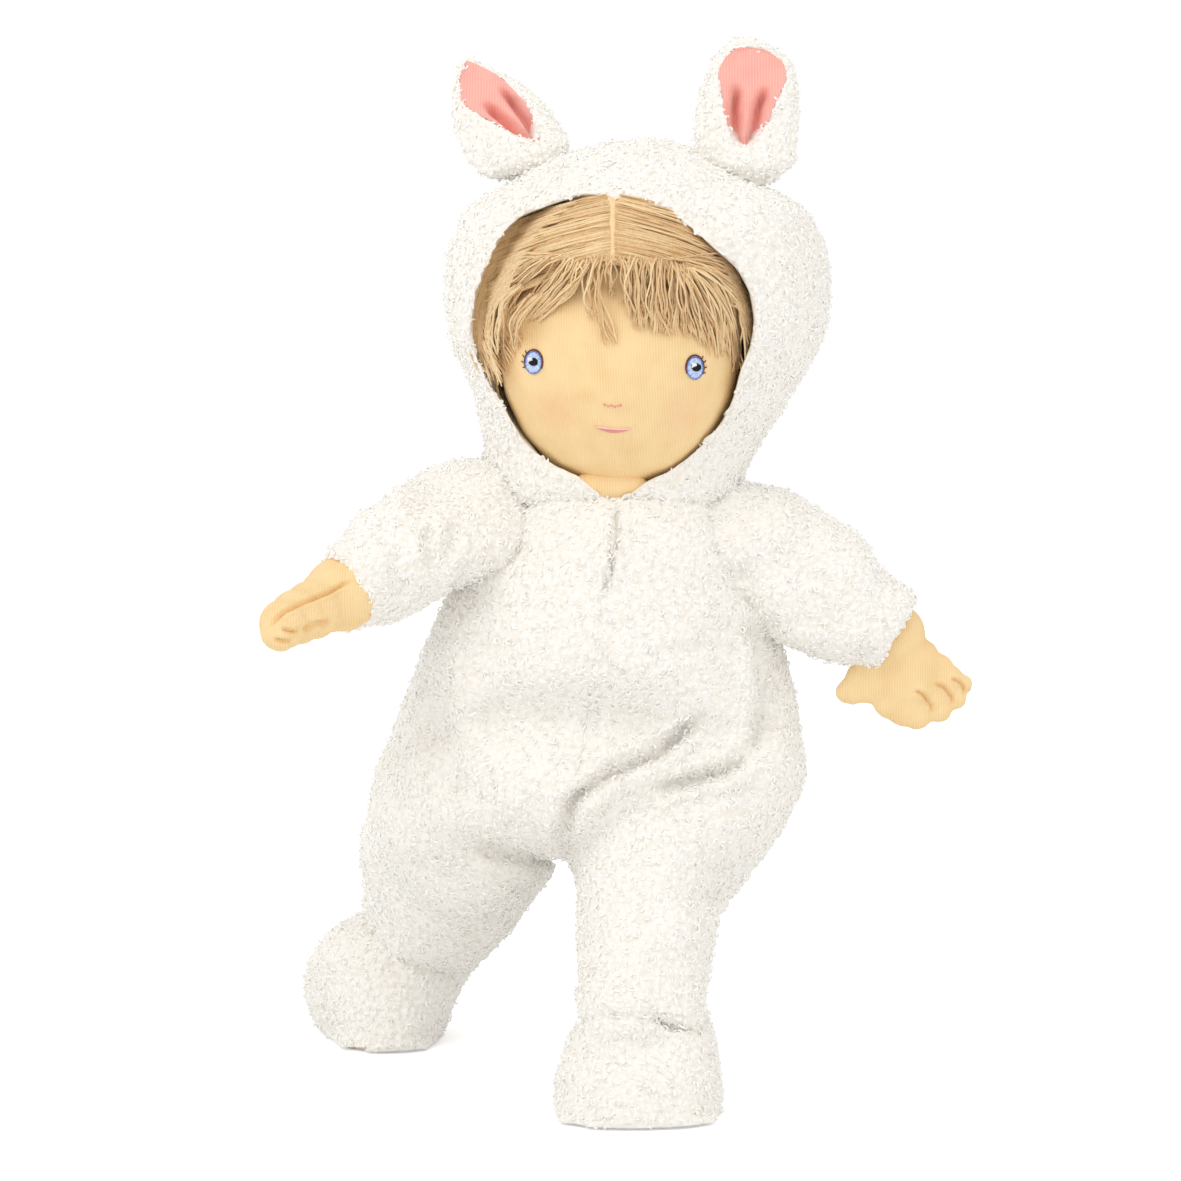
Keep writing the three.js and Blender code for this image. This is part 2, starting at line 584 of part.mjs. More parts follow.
function buildEar(name, group) {
  const scoop = (grow) =>
    new THREE.SphereGeometry(1, INNER_SIDES + 2, 8)
      .scale(EAR_WIDTH / 2 - EAR_BORDER + grow, EAR_SCOOP + grow, EAR_LENGTH * 0.44 + grow)
      .translate(0, -EAR_THICKNESS / 2, EAR_LENGTH * 0.52);
  piece(group, `${name}_ear`, cut(earForm(), scoop(0)), PLUSH_CLOTH);
  const lining = cut(common(scoop(-LAY), earForm()), scoop(-LAY - EAR_LINING));
  piece(group, `${name}_ear_lining`, lining, LINING);
}

// Hand: palm, four fingers and a thumb stuffed as one, on a round wrist.
function handForm(side, roll, bend) {
  const wristEnd = ARM_LENGTH + WRIST_OUT;
  const heel = WRIST_OUT / 5;
  const knuckles = wristEnd + PALM_LENGTH - FINGER_RADIUS;
  const wrist = new THREE.CylinderGeometry(WRIST_RADIUS, WRIST_RADIUS, 2 * WRIST_OUT, SIDES)
    .rotateX(rad(90))
    .translate(0, 0, -ARM_LENGTH - WRIST_OUT / 2);
  const palm = new THREE.SphereGeometry(1, INNER_SIDES, 7)
    .rotateX(rad(90))
    .scale(PALM_WIDTH / 2, PALM_THICKNESS / 2, PALM_LENGTH / 2 + heel)
    .translate(0, 0, -wristEnd - PALM_LENGTH / 2 + heel);
  const digit = (radius, length, x, along, angle) =>
    new THREE.CapsuleGeometry(radius, length - radius, 2, 7)
      .rotateX(rad(90))
      .translate(0, 0, -(length - radius) / 2)
      .rotateY(rad(angle))
      .translate(x, 0, -along);
  const fingers = [-1.5, -0.5, 0.5, 1.5].map((place) => {
    const x = place * (PALM_WIDTH - 2 * FINGER_RADIUS) * 0.33;
    const length = FINGER_LENGTH - FINGER_RADIUS * 0.25 * place * place;
    return digit(FINGER_RADIUS, length, x, knuckles - FINGER_RADIUS, -5 * place);
  });
  const thumbAlong = wristEnd + PALM_LENGTH * 0.45;
  const thumb = digit(THUMB_RADIUS, THUMB_LENGTH, -side * PALM_WIDTH * 0.3, thumbAlong, side * THUMB_SPREAD);
  const hand = join(palm, fingers, thumb)
    .rotateZ(rad(side * roll))
    .translate(0, 0, wristEnd)
    .rotateY(rad(side * bend))
    .translate(0, 0, -wristEnd);
  return join(wrist, hand);
}

// Arm: a gathered top sewn to the trunk, then the stuffed arm and hand in a plush sleeve.
function buildArm(name, side, group) {
  const shoulder = frame(shoulderPivot(side));
  const stem = Math.sqrt(ARMHOLE_RADIUS ** 2 - GATHER_STEM ** 2);
  const knob = arc(GATHER_RADIUS, 180, THREE.MathUtils.radToDeg(Math.asin(GATHER_STEM / GATHER_RADIUS)), 6);
  const gather = turned([...knob, [GATHER_STEM, stem], [0, ARMHOLE_RADIUS]], INNER_SIDES);
  piece(shoulder, `${name}_arm_gather`, gather.rotateY(rad(-side * 90)), JERSEY_CLOTH);

  const inwards = (distance, radius) =>
    carried(ball([-side * distance, 0, 0], radius), shoulder, group);
  const top = block([-FAR, -FAR, -GATHER_STEM / 2], [FAR, FAR, FAR]);
  const clear = [top, ball([0, 0, 0], GATHER_RADIUS + LAY), inwards(ARM_RADIUS, GATHER_RADIUS)];
  const sleeve = [sleeveForm(-PLUSH, PLUSH), inwards(ARMHOLE_RADIUS, ARMHOLE_MOUTH)];
  const end = WRIST_OUT / 2 - LAY;
  piece(group, `${name}_sleeve`, cut(sleeveForm(0), sleeve), PLUSH_CLOTH);
  const skinTube = cut(armForm(0, end), armForm(-JERSEY, PLUSH), clear);
  piece(group, `${name}_arm_skin`, skinTube, JERSEY_CLOTH);
  piece(group, `${name}_arm_stuffing`, cut(armForm(-JERSEY - LAY, end), clear), STUFFING);
  const { roll, bend } = armPose(side);
  piece(group, `${name}_hand`, handForm(side, roll, bend), JERSEY_CLOTH);
  const tie = ring(WRIST_RADIUS + LAY + THREAD / 2, THREAD, -ARM_LENGTH - LAY - THREAD / 2);
  piece(group, `${name}_wrist_tie`, tie, TIE_THREAD);
}

// Foot: flat under the sole, domed above it, highest at the ankle and rounded at heel and toe.
function footForm(ankle, heel, grow, foot = 0) {
  const ankleShare = heel / FOOT_LENGTH;
  const steps = 10;
  const rings = Array.from({ length: steps + 1 }, (_, i) => {
    const share = 0.5 - 0.5 * Math.cos((Math.PI * (i + 0.25)) / (steps + 0.5));
    const round = (1 - Math.abs(2 * share - 1) ** 2.6) ** 0.5;
    const near = THREE.MathUtils.smoothstep(1 - Math.abs(share - ankleShare) / 0.45, 0, 1);
    const height = (TOE_HEIGHT + (ankle + PLUSH - TOE_HEIGHT) * near) * round ** 0.8;
    const along = heel + grow - (FOOT_LENGTH + 2 * grow) * share;
    const half = (FOOT_WIDTH / 2) * round;
    const dome = Array.from({ length: INNER_SIDES }, (__, k) => {
      const angle = (Math.PI * k) / (INNER_SIDES - 1);
      const across = Math.sign(Math.cos(angle)) * Math.abs(Math.cos(angle)) ** 0.75;
      return new THREE.Vector3(
        Math.max(half + grow, 0.5) * across,
        along,
        Math.max(height + grow, SOLE + 1) * Math.sin(angle) ** 0.75,
      );
    });
    dome[0].z = foot;
    dome[INNER_SIDES - 1].z = foot;
    return dome;
  });
  return skin(rings);
}

// Leg: gathered top, stuffed leg and foot, in a plush trouser leg and a bootie with a sole.
function buildLeg(name, side, group) {
  const ankle = new THREE.Vector3(0, 0, -LEG_LENGTH).applyMatrix4(group.matrix);
  const ground = new THREE.Group();
  ground.position.set(ankle.x, ankle.y, 0);
  ground.rotation.z = rad(-side * legPose(side).turn);
  ground.updateMatrix();
  const foot = (grow, floor) =>
    carried(footForm(ankle.z, legPose(side).heel, grow, floor), ground, group);
  const floorTo = (height) => carried(below(height), torsoFrame, group);
  const instep = TOE_HEIGHT / 3;

  const gatherFoot = LEG_RADIUS + LEG_CROWN + LAY;
  const gatherTop = Math.sqrt(HIP_RADIUS ** 2 - LEG_GATHER ** 2);
  const gather = [
    [0, gatherFoot],
    [LEG_GATHER, gatherFoot],
    [LEG_GATHER, gatherTop],
    [0, HIP_RADIUS],
  ];
  piece(group, `${name}_leg_gather`, turned(gather, INNER_SIDES), JERSEY_CLOTH);
  const mouth = turned([[0, 0], [LEG_GATHER + LAY, 0], [LEG_GATHER + LAY, FAR], [0, FAR]], INNER_SIDES);
  const inLeg = [trouserForm(-PLUSH, FOOT_WIDTH), mouth, foot(LAY), floorTo(TOE_HEIGHT / 2)];
  piece(group, `${name}_trouser`, cut(trouserForm(0, instep), inLeg), PLUSH_CLOTH);
  const core = [foot(-PLUSH)];
  piece(group, `${name}_leg_skin`, cut(legForm(0, instep), legForm(-JERSEY, FOOT_WIDTH), core), JERSEY_CLOTH);
  piece(group, `${name}_leg_stuffing`, cut(legForm(-JERSEY - LAY, instep), core), STUFFING);
  piece(group, `${name}_foot_stuffing`, cut(foot(-PLUSH - LAY), floorTo(SOLE + LAY)), STUFFING);
  const inside = [foot(-PLUSH, -PLUSH), legForm(LAY, instep), floorTo(SOLE + LAY)];
  piece(group, `${name}_bootie`, cut(foot(0), inside), PLUSH_CLOTH);
  const sole = common(foot(0), floorTo(SOLE));
  piece(group, `${name}_sole`, sole, SOLE_CLOTH);
}

// The whole doll
const sides = [
  ['left', 1],
  ['right', -1],
];
const armFrames = sides.map(([, side]) => [side, frame(shoulderPivot(side), armTurn(side))]);
const legFrames = sides.map(([, side]) => [side, frame(hipPivot(side), legTurn(side))]);
const earTilt = new Map([
  [1, about(X, -LEFT_EAR_LEAN).multiply(about(Y, LEFT_EAR_TILT))],
  [-1, about(X, -RIGHT_EAR_LEAN).multiply(about(Y, -RIGHT_EAR_TILT))],
]);
const earFrames = sides.map(([, side]) => frame(earSeat(side), earTilt.get(side)));

dressTorso(armFrames, legFrames);
buildNeck();
buildHead();
buildHood(earFrames);
sides.forEach(([name, side], i) => {
  buildEar(name, earFrames[i]);
  buildArm(name, side, armFrames[i][1]);
  buildLeg(name, side, legFrames[i][1]);
});

// The doll stands on the floor with the middle of its outline over the origin.
doll.updateMatrixWorld(true);
const outline = new THREE.Box3().setFromObject(doll, true);
const middle = outline.getCenter(new THREE.Vector3());
doll.position.set(-middle.x, -middle.y, 0);

export default doll;
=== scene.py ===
"""Looks of a cloth doll in a plush rabbit suit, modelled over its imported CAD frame.

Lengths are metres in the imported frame: +Z is up, the doll faces -Y, and +X is the doll's left.
Lines that the photograph shows, such as folds, stitches and locks of hair, are given in pixels
of the photograph and laid on the cloth along the camera's rays.
"""

import json
import logging
import math
import random
from contextlib import contextmanager
from dataclasses import dataclass, field, replace
from enum import Enum
from typing import ClassVar, Iterator, Sequence

import bpy
import numpy as np
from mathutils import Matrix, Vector
from mathutils.bvhtree import BVHTree

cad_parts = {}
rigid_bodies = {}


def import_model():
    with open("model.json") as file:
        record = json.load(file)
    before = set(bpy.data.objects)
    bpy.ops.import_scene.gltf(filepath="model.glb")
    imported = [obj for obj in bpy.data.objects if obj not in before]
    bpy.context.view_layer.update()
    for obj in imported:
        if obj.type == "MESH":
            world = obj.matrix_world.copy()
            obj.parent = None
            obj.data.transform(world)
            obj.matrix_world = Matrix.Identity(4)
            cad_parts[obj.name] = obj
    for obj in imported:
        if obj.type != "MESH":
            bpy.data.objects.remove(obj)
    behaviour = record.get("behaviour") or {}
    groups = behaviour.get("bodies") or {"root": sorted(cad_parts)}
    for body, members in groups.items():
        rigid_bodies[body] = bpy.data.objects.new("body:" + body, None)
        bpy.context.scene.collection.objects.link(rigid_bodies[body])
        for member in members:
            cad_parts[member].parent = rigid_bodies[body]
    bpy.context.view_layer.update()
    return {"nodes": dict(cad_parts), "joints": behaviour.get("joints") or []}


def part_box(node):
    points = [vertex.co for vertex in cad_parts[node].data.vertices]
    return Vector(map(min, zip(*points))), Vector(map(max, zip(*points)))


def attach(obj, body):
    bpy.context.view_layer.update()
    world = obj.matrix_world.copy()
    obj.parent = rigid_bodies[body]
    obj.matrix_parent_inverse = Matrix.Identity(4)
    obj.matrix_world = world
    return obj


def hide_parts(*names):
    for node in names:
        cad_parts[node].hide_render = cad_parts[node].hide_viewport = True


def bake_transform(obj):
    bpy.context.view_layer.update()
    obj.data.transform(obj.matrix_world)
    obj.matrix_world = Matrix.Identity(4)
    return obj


bpy.ops.object.select_all(action="SELECT")
bpy.ops.object.delete()
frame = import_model()

log = logging.getLogger("doll")
logging.basicConfig(level=logging.INFO, format="%(message)s")

MM = 0.001
MERGE_DISTANCE = 0.001 * MM
Pixel = tuple[float, float]
Radii = tuple[float, float, float]
JOINTS = {joint["name"]: joint for joint in frame["joints"]}


def joint_point(name: str) -> Vector:
    """Where a joint's axis passes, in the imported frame."""
    return Vector(JOINTS[name]["pos_m"])


def node_middle(name: str) -> Vector:
    """Middle of a CAD node's box."""
    low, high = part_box(name)
    return (low + high) / 2


class Side(Enum):
    """The doll's own sides."""

    LEFT = "left"
    RIGHT = "right"

    @property
    def sign(self) -> float:
        """+1 for the doll's left, which is +X."""
        return 1.0 if self is Side.LEFT else -1.0

    def node(self, name: str) -> str:
        """Name of this side's node or body."""
        return f"{self.value}_{name}"

    def seed(self, first: int) -> int:
        """The random seed of this side's piece, in a pair that starts at first."""
        return first if self is Side.LEFT else first + 1


# Photograph


@dataclass(frozen=True)
class PhotoView:
    """The place that the photograph was taken from.

    The focal length and size are in pixels of the photograph.
    """

    eye: Vector
    pitch: float = math.radians(-3.0)
    focal: float = 2657.0
    size: float = 1181.0

    @property
    def up(self) -> Vector:
        """Upwards in the picture."""
        return Vector((0.0, -math.sin(self.pitch), math.cos(self.pitch)))

    @property
    def ahead(self) -> Vector:
        """Into the picture."""
        return Vector((0.0, math.cos(self.pitch), math.sin(self.pitch)))

    def pixels(self, points: np.ndarray) -> tuple[np.ndarray, np.ndarray]:
        """Where points fall in the photograph.

        Args:
            points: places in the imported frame, one to a row.

        Returns:
            Their pixels, and the metres that one pixel spans at each.
        """
        away = points - np.array(self.eye)
        depth = away @ np.array(self.ahead)
        across = self.size / 2 + self.focal * away[:, 0] / depth
        down = self.size / 2 - self.focal * (away @ np.array(self.up)) / depth
        return np.stack([across, down], axis=1), depth / self.focal

    def ray(self, pixel: Pixel) -> Vector:
        """Direction of the ray through a pixel."""
        across = (pixel[0] - self.size / 2) / self.focal
        rise = (self.size / 2 - pixel[1]) / self.focal
        return (self.ahead + Vector((across, 0.0, 0.0)) + self.up * rise).normalized()

    def at_depth(self, pixel: Pixel, depth: float) -> Vector:
        """The place where a pixel's ray reaches a depth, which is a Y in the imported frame."""
        ray = self.ray(pixel)
        return self.eye + ray * ((depth - self.eye.y) / ray.y)


NECK_IN_PHOTO_FRAME = Vector((10.5, 9.0, 214.0)) * MM
CAMERA_IN_PHOTO_FRAME = Vector((0.0, -930.0, 226.8)) * MM
PHOTO = PhotoView(joint_point("head_turn") - NECK_IN_PHOTO_FRAME + CAMERA_IN_PHOTO_FRAME)


# Mesh work


def activate(obj: bpy.types.Object) -> None:
    """Makes one object the only one selected, and active."""
    bpy.ops.object.select_all(action="DESELECT")
    obj.select_set(True)
    bpy.context.view_layer.objects.active = obj


@contextmanager
def editing(obj: bpy.types.Object) -> Iterator[None]:
    """Opens a piece in edit mode, with all of it selected, and closes it again."""
    activate(obj)
    bpy.ops.object.mode_set(mode="EDIT")
    bpy.ops.mesh.select_all(action="SELECT")
    yield
    bpy.ops.object.mode_set(mode="OBJECT")


def rename(obj: bpy.types.Object, name: str) -> None:
    """Gives a piece and its mesh one name."""
    obj.name = name
    obj.data.name = name


def twin(obj: bpy.types.Object, name: str) -> bpy.types.Object:
    """Copies a piece, with a mesh of its own."""
    copy = obj.copy()
    copy.data = obj.data.copy()
    rename(copy, name)
    bpy.context.scene.collection.objects.link(copy)
    return copy


def coords(obj: bpy.types.Object) -> np.ndarray:
    """Vertex places of a mesh, one to a row."""
    flat = np.empty(len(obj.data.vertices) * 3)
    obj.data.vertices.foreach_get("co", flat)
    return flat.reshape(-1, 3)


def put(obj: bpy.types.Object, points: np.ndarray) -> None:
    """Moves the vertices of a mesh to new places."""
    obj.data.vertices.foreach_set("co", points.reshape(-1))
    obj.data.update()


def normals(obj: bpy.types.Object) -> np.ndarray:
    """Vertex normals of a mesh, one to a row."""
    flat = np.empty(len(obj.data.vertices) * 3, np.float32)
    obj.data.vertex_normals.foreach_get("vector", flat)
    return flat.reshape(-1, 3).astype(float)


def note(obj: bpy.types.Object, name: str, values: np.ndarray) -> None:
    """Writes one value for each vertex into a new attribute of a mesh."""
    layer = obj.data.attributes.new(name, "FLOAT", "POINT")
    layer.data.foreach_set("value", values.astype(np.float32))


def smoothstep(low: float, high: float, value: np.ndarray) -> np.ndarray:
    """0 below low, 1 above high and an even slope between."""
    share = np.clip((value - low) / (high - low), 0.0, 1.0)
    return share * share * (3.0 - 2.0 * share)


def apply_modifier(obj: bpy.types.Object, kind: str, **settings: object) -> None:
    """Adds a modifier with these settings and applies it."""
    activate(obj)
    modifier = obj.modifiers.new(kind.title(), kind)
    for name, value in settings.items():
        setattr(modifier, name, value)
    bpy.ops.object.modifier_apply(modifier=modifier.name)


def smooth(obj: bpy.types.Object, rounds: int) -> None:
    """Evens out a surface."""
    apply_modifier(obj, "SMOOTH", factor=0.5, iterations=rounds)


def subdivide(obj: bpy.types.Object) -> None:
    """Halves the faces of a surface and rounds it."""
    apply_modifier(obj, "SUBSURF", levels=1, render_levels=1)


def remesh(obj: bpy.types.Object, voxel: float) -> None:
    """Gives a piece one even closed skin."""
    activate(obj)
    obj.data.remesh_voxel_size = voxel
    bpy.ops.object.voxel_remesh()


def copy_node(node: str, name: str, solid: bool = False) -> bpy.types.Object:
    """Copies a CAD node's shape as the start of a piece.

    Args:
        node: the CAD node.
        name: name of the new piece.
        solid: whether its hollows are filled out to the outer skin.

    Returns:
        The new object, merged into one mesh.
    """
    mesh = frame["nodes"][node].data.copy()
    mesh.materials.clear()
    obj = bpy.data.objects.new(name, mesh)
    rename(obj, name)
    bpy.context.scene.collection.objects.link(obj)
    with editing(obj):
        bpy.ops.mesh.remove_doubles(threshold=MERGE_DISTANCE)
        if solid:
            bpy.ops.mesh.convex_hull()
    return obj


def lump(centre: Vector, radii: Radii) -> bpy.types.Object:
    """An egg of stuffing, to be welded into a larger piece."""
    bpy.ops.mesh.primitive_uv_sphere_add(segments=32, ring_count=20, location=centre, scale=radii)
    obj = bpy.context.object
    bpy.ops.object.transform_apply(location=True, rotation=True, scale=True)
    return obj


def weld(name: str, parts: Sequence[bpy.types.Object], voxel: float) -> bpy.types.Object:
    """Joins overlapping lumps into one closed skin.

    Args:
        name: name of the welded piece.
        parts: the lumps, which are used up.
        voxel: edge length of its faces.

    Returns:
        The welded piece.
    """
    activate(parts[0])
    for part in parts:
        part.select_set(True)
    bpy.ops.object.join()
    whole = bpy.context.object
    rename(whole, name)
    remesh(whole, voxel)
    return whole


def stand_off(obj: bpy.types.Object, tree: BVHTree, clearance: float) -> None:
    """Lifts a piece off the surface that it lies on."""
    points = coords(obj)
    for index, point in enumerate(points):
        spot, normal, _, _ = tree.find_nearest(Vector(point))
        if (Vector(point) - spot).dot(normal) < clearance:
            points[index] = spot + normal * clearance
    put(obj, points)


def shade_smooth(obj: bpy.types.Object) -> None:
    """Shades every face of a piece smooth."""
    activate(obj)
    bpy.ops.object.shade_smooth()


def tree_of(obj: bpy.types.Object) -> BVHTree:
    """A search tree over a piece's faces."""
    faces = [tuple(face.vertices) for face in obj.data.polygons]
    return BVHTree.FromPolygons([vertex.co.copy() for vertex in obj.data.vertices], faces)


@dataclass(frozen=True)
class Fold:
    """A valley in the cloth along a line of photo pixels, with the ridges beside it.

    Width and depth are metres, ridge is the share of the depth that is thrown up, and taper is
    the share of the line over which each end dies away.
    """

    line: tuple[Pixel, ...]
    width: float
    depth: float
    ridge: float = 0.35
    taper: float = 0.22


def press(obj: bpy.types.Object, folds: Sequence[Fold]) -> None:
    """Presses folds into the side of a piece that faces the photograph."""
    points = coords(obj)
    outward = normals(obj)
    pixels, span = PHOTO.pixels(points)
    towards = np.array(PHOTO.eye) - points
    towards /= np.linalg.norm(towards, axis=1, keepdims=True)
    full_facing = 0.35
    facing = smoothstep(0.0, full_facing, (outward * towards).sum(axis=1))
    for fold in folds:
        line = np.array(fold.line)
        steps = np.linalg.norm(np.diff(line, axis=0), axis=1)
        reached = np.concatenate([[0.0], np.cumsum(steps)])
        best = np.full(len(points), np.inf)
        along = np.zeros(len(points))
        for index, (start, end) in enumerate(zip(line[:-1], line[1:])):
            way = end - start
            share = np.clip(((pixels - start) @ way) / (way @ way), 0.0, 1.0)
            gap = np.linalg.norm(pixels - start - share[:, None] * way, axis=1)
            closer = gap < best
            best = np.where(closer, gap, best)
            along = np.where(closer, reached[index] + share * steps[index], along)
        share = along / reached[-1]
        taper = smoothstep(0.0, fold.taper, share) * smoothstep(0.0, fold.taper, 1.0 - share)
        gap = best * span / fold.width
        shape = fold.ridge * np.exp(-((gap - 2.0) ** 2)) - np.exp(-(gap**2))
        points += outward * (fold.depth * shape * taper * facing)[:, None]
    put(obj, points)


@dataclass(frozen=True)
class Reach:
    """How far a piece reaches along one row of the photograph, or along one column.

    At is the row or column, and low and high are the pixels where the piece begins and ends.
    """

    at: float
    low: float
    high: float


Outline = tuple[Reach, ...]


def outline(*rows: tuple[float, float, float]) -> Outline:
    """An outline from rows of at, low and high, in order."""
    return tuple(Reach(*row) for row in rows)


def edges(at: np.ndarray, across: np.ndarray) -> tuple[np.ndarray, np.ndarray, np.ndarray]:
    """Outline of a cloud of pixels.

    Args:
        at: row or column of each pixel.
        across: where it lies along that row or column.

    Returns:
        Evenly spaced rows or columns, and where the pixels begin and end along each.
    """
    step = 6.0
    bins = ((at - at.min()) / step).astype(int)
    low = np.full(bins.max() + 1, np.inf)
    high = np.full(bins.max() + 1, -np.inf)
    np.minimum.at(low, bins, across)
    np.maximum.at(high, bins, across)
    filled = np.isfinite(low)
    centres = at.min() + (np.arange(len(low)) + 0.5) * step
    return centres[filled], low[filled], high[filled]


def fit(
    pieces: Sequence[bpy.types.Object],
    reaches: Outline,
    upright: bool = False,
    fade: float = 40.0,
) -> None:
    """Draws a piece in or out until it fills its outline in the photograph.

    Args:
        pieces: the piece, then any others that move along with it.
        reaches: the outline, row by row from the top or column by column from the left.
        upright: whether it goes by columns, so that the piece moves up and down.
        fade: pixels beyond both ends of the outline over which the change dies away.
    """
    line, move = (0, 1) if upright else (1, 0)
    measured = PHOTO.pixels(coords(pieces[0]))[0]
    steps, low, high = edges(measured[:, line], measured[:, move])
    ats = [reach.at for reach in reaches]
    for piece in pieces:
        points = coords(piece)
        pixels, span = PHOTO.pixels(points)
        at, across = pixels[:, line], pixels[:, move]
        low_now = np.interp(at, steps, low)
        high_now = np.interp(at, steps, high)
        share = (across - low_now) / np.maximum(high_now - low_now, 1.0)
        low_wanted = np.interp(at, ats, [reach.low for reach in reaches])
        high_wanted = np.interp(at, ats, [reach.high for reach in reaches])
        wanted = low_wanted + share * (high_wanted - low_wanted)
        weight = smoothstep(ats[0] - fade, ats[0], at) * (1.0 - smoothstep(ats[-1], ats[-1] + fade, at))
        shift = (wanted - across) * weight * span
        if upright:
            points[:, 2] -= shift
        else:
            points[:, 0] += shift
        put(piece, points)


def ripple(obj: bpy.types.Object, size: float, height: float, seed: int) -> None:
    """Makes stuffed cloth gently uneven.

    Args:
        obj: the piece.
        size: distance between the swellings.
        height: how far they stand out.
        seed: which pattern.
    """
    points = coords(obj)
    outward = normals(obj)
    rng = np.random.default_rng(seed)
    wave = np.zeros(len(points))
    waves = 9
    for _ in range(waves):
        way = rng.normal(size=3)
        way *= 2.0 * math.pi / (size * rng.uniform(0.75, 1.6)) / np.linalg.norm(way)
        wave += np.sin(points @ way + rng.uniform(0.0, 2.0 * math.pi))
    put(obj, points + outward * (height * wave / math.sqrt(waves))[:, None])


def swell(obj: bpy.types.Object, pressure: float, cap: float, shrink: float = 0.0) -> None:
    """Fills a stuffed piece by a short cloth simulation under inner pressure.

    Args:
        obj: the closed skin, a little smaller than the finished piece.
        pressure: force of the filling.
        cap: the farthest that any point may move.
        shrink: how much the cloth draws in, or gives way if negative.
    """
    rest = coords(obj)
    activate(obj)
    cloth = obj.modifiers.new("Cloth", "CLOTH")
    cloth.settings.quality = 6
    cloth.settings.mass = 0.2
    cloth.settings.tension_stiffness = 20.0
    cloth.settings.compression_stiffness = 20.0
    cloth.settings.shear_stiffness = 8.0
    cloth.settings.bending_stiffness = 0.4
    cloth.settings.use_pressure = True
    cloth.settings.uniform_pressure_force = pressure
    cloth.settings.shrink_min = shrink
    cloth.settings.effector_weights.gravity = 0.0
    last_frame = 20
    cloth.point_cache.frame_start = 1
    cloth.point_cache.frame_end = last_frame
    for number in range(1, last_frame + 1):
        bpy.context.scene.frame_set(number)
    bpy.ops.object.modifier_apply(modifier=cloth.name)
    moved = coords(obj) - rest
    length = np.linalg.norm(moved, axis=1, keepdims=True)
    put(obj, rest + moved * np.minimum(1.0, cap / np.maximum(length, 1e-9)))
    bpy.context.scene.frame_set(1)


# Finishes


def linear(colour: str) -> tuple[float, float, float, float]:
    """A colour written as sRGB hex, as the linear values that nodes take."""
    parts = [int(colour[i : i + 2], 16) / 255.0 for i in (1, 3, 5)]
    return (*(p / 12.92 if p <= 0.04045 else ((p + 0.055) / 1.055) ** 2.4 for p in parts), 1.0)


def add_node(tree: bpy.types.NodeTree, kind: str, inputs: dict, **settings: object) -> bpy.types.Node:
    """Adds a node, with its settings, and sets or links its inputs.

    Args:
        tree: the node tree that gets it.
        kind: type of the node.
        inputs: values, or output sockets to link, by input name or number.
        settings: the node's own properties.

    Returns:
        The new node.
    """
    node = tree.nodes.new(kind)
    for name, value in settings.items():
        setattr(node, name, value)
    for name, value in inputs.items():
        if isinstance(value, bpy.types.NodeSocket):
            tree.links.new(value, node.inputs[name])
        else:
            node.inputs[name].default_value = value
    return node


@dataclass(frozen=True)
class Finish:
    """A material that is the same all through: what it is named and how it takes light.

    Slot is the record's material slot for it; it is not used.
    """

    name: str
    colour: str
    shade: str
    slot: str = ""
    roughness: float = 0.9
    sheen: float = 0.0
    sheen_roughness: float = 0.5
    specular: float = 0.25
    bump: float = 0.6
    bump_depth: float = 0.15 * MM

    def start(self) -> tuple[bpy.types.Material, bpy.types.NodeTree, bpy.types.Node]:
        """A new material, its node tree and the coordinates that its patterns lie on."""
        material = bpy.data.materials.new(self.name)
        material.use_nodes = True
        return material, material.node_tree, add_node(material.node_tree, "ShaderNodeTexCoord", {})

    def mix(self, tree: bpy.types.NodeTree, factor: bpy.types.NodeSocket) -> bpy.types.NodeSocket:
        """A colour between shade and colour."""
        ends = {0: factor, 6: linear(self.shade), 7: linear(self.colour)}
        return add_node(tree, "ShaderNodeMix", ends, data_type="RGBA").outputs[2]

    def shine(
        self, tree: bpy.types.NodeTree, colour: bpy.types.NodeSocket, height: bpy.types.NodeSocket
    ) -> None:
        """Sets the shader, with its colour and the height of its fine relief."""
        shader = tree.nodes["Principled BSDF"]
        shader.inputs["Roughness"].default_value = self.roughness
        shader.inputs["Specular IOR Level"].default_value = self.specular
        shader.inputs["Sheen Weight"].default_value = self.sheen
        shader.inputs["Sheen Roughness"].default_value = self.sheen_roughness
        tree.links.new(colour, shader.inputs["Base Color"])
        relief = {"Height": height, "Strength": self.bump, "Distance": self.bump_depth}
        bump = add_node(tree, "ShaderNodeBump", relief)
        tree.links.new(bump.outputs[0], shader.inputs["Normal"])


def wave_scale(period: float) -> float:
    """Scale of a wave texture whose bands are one period apart."""
    return math.pi / 10.0 / period


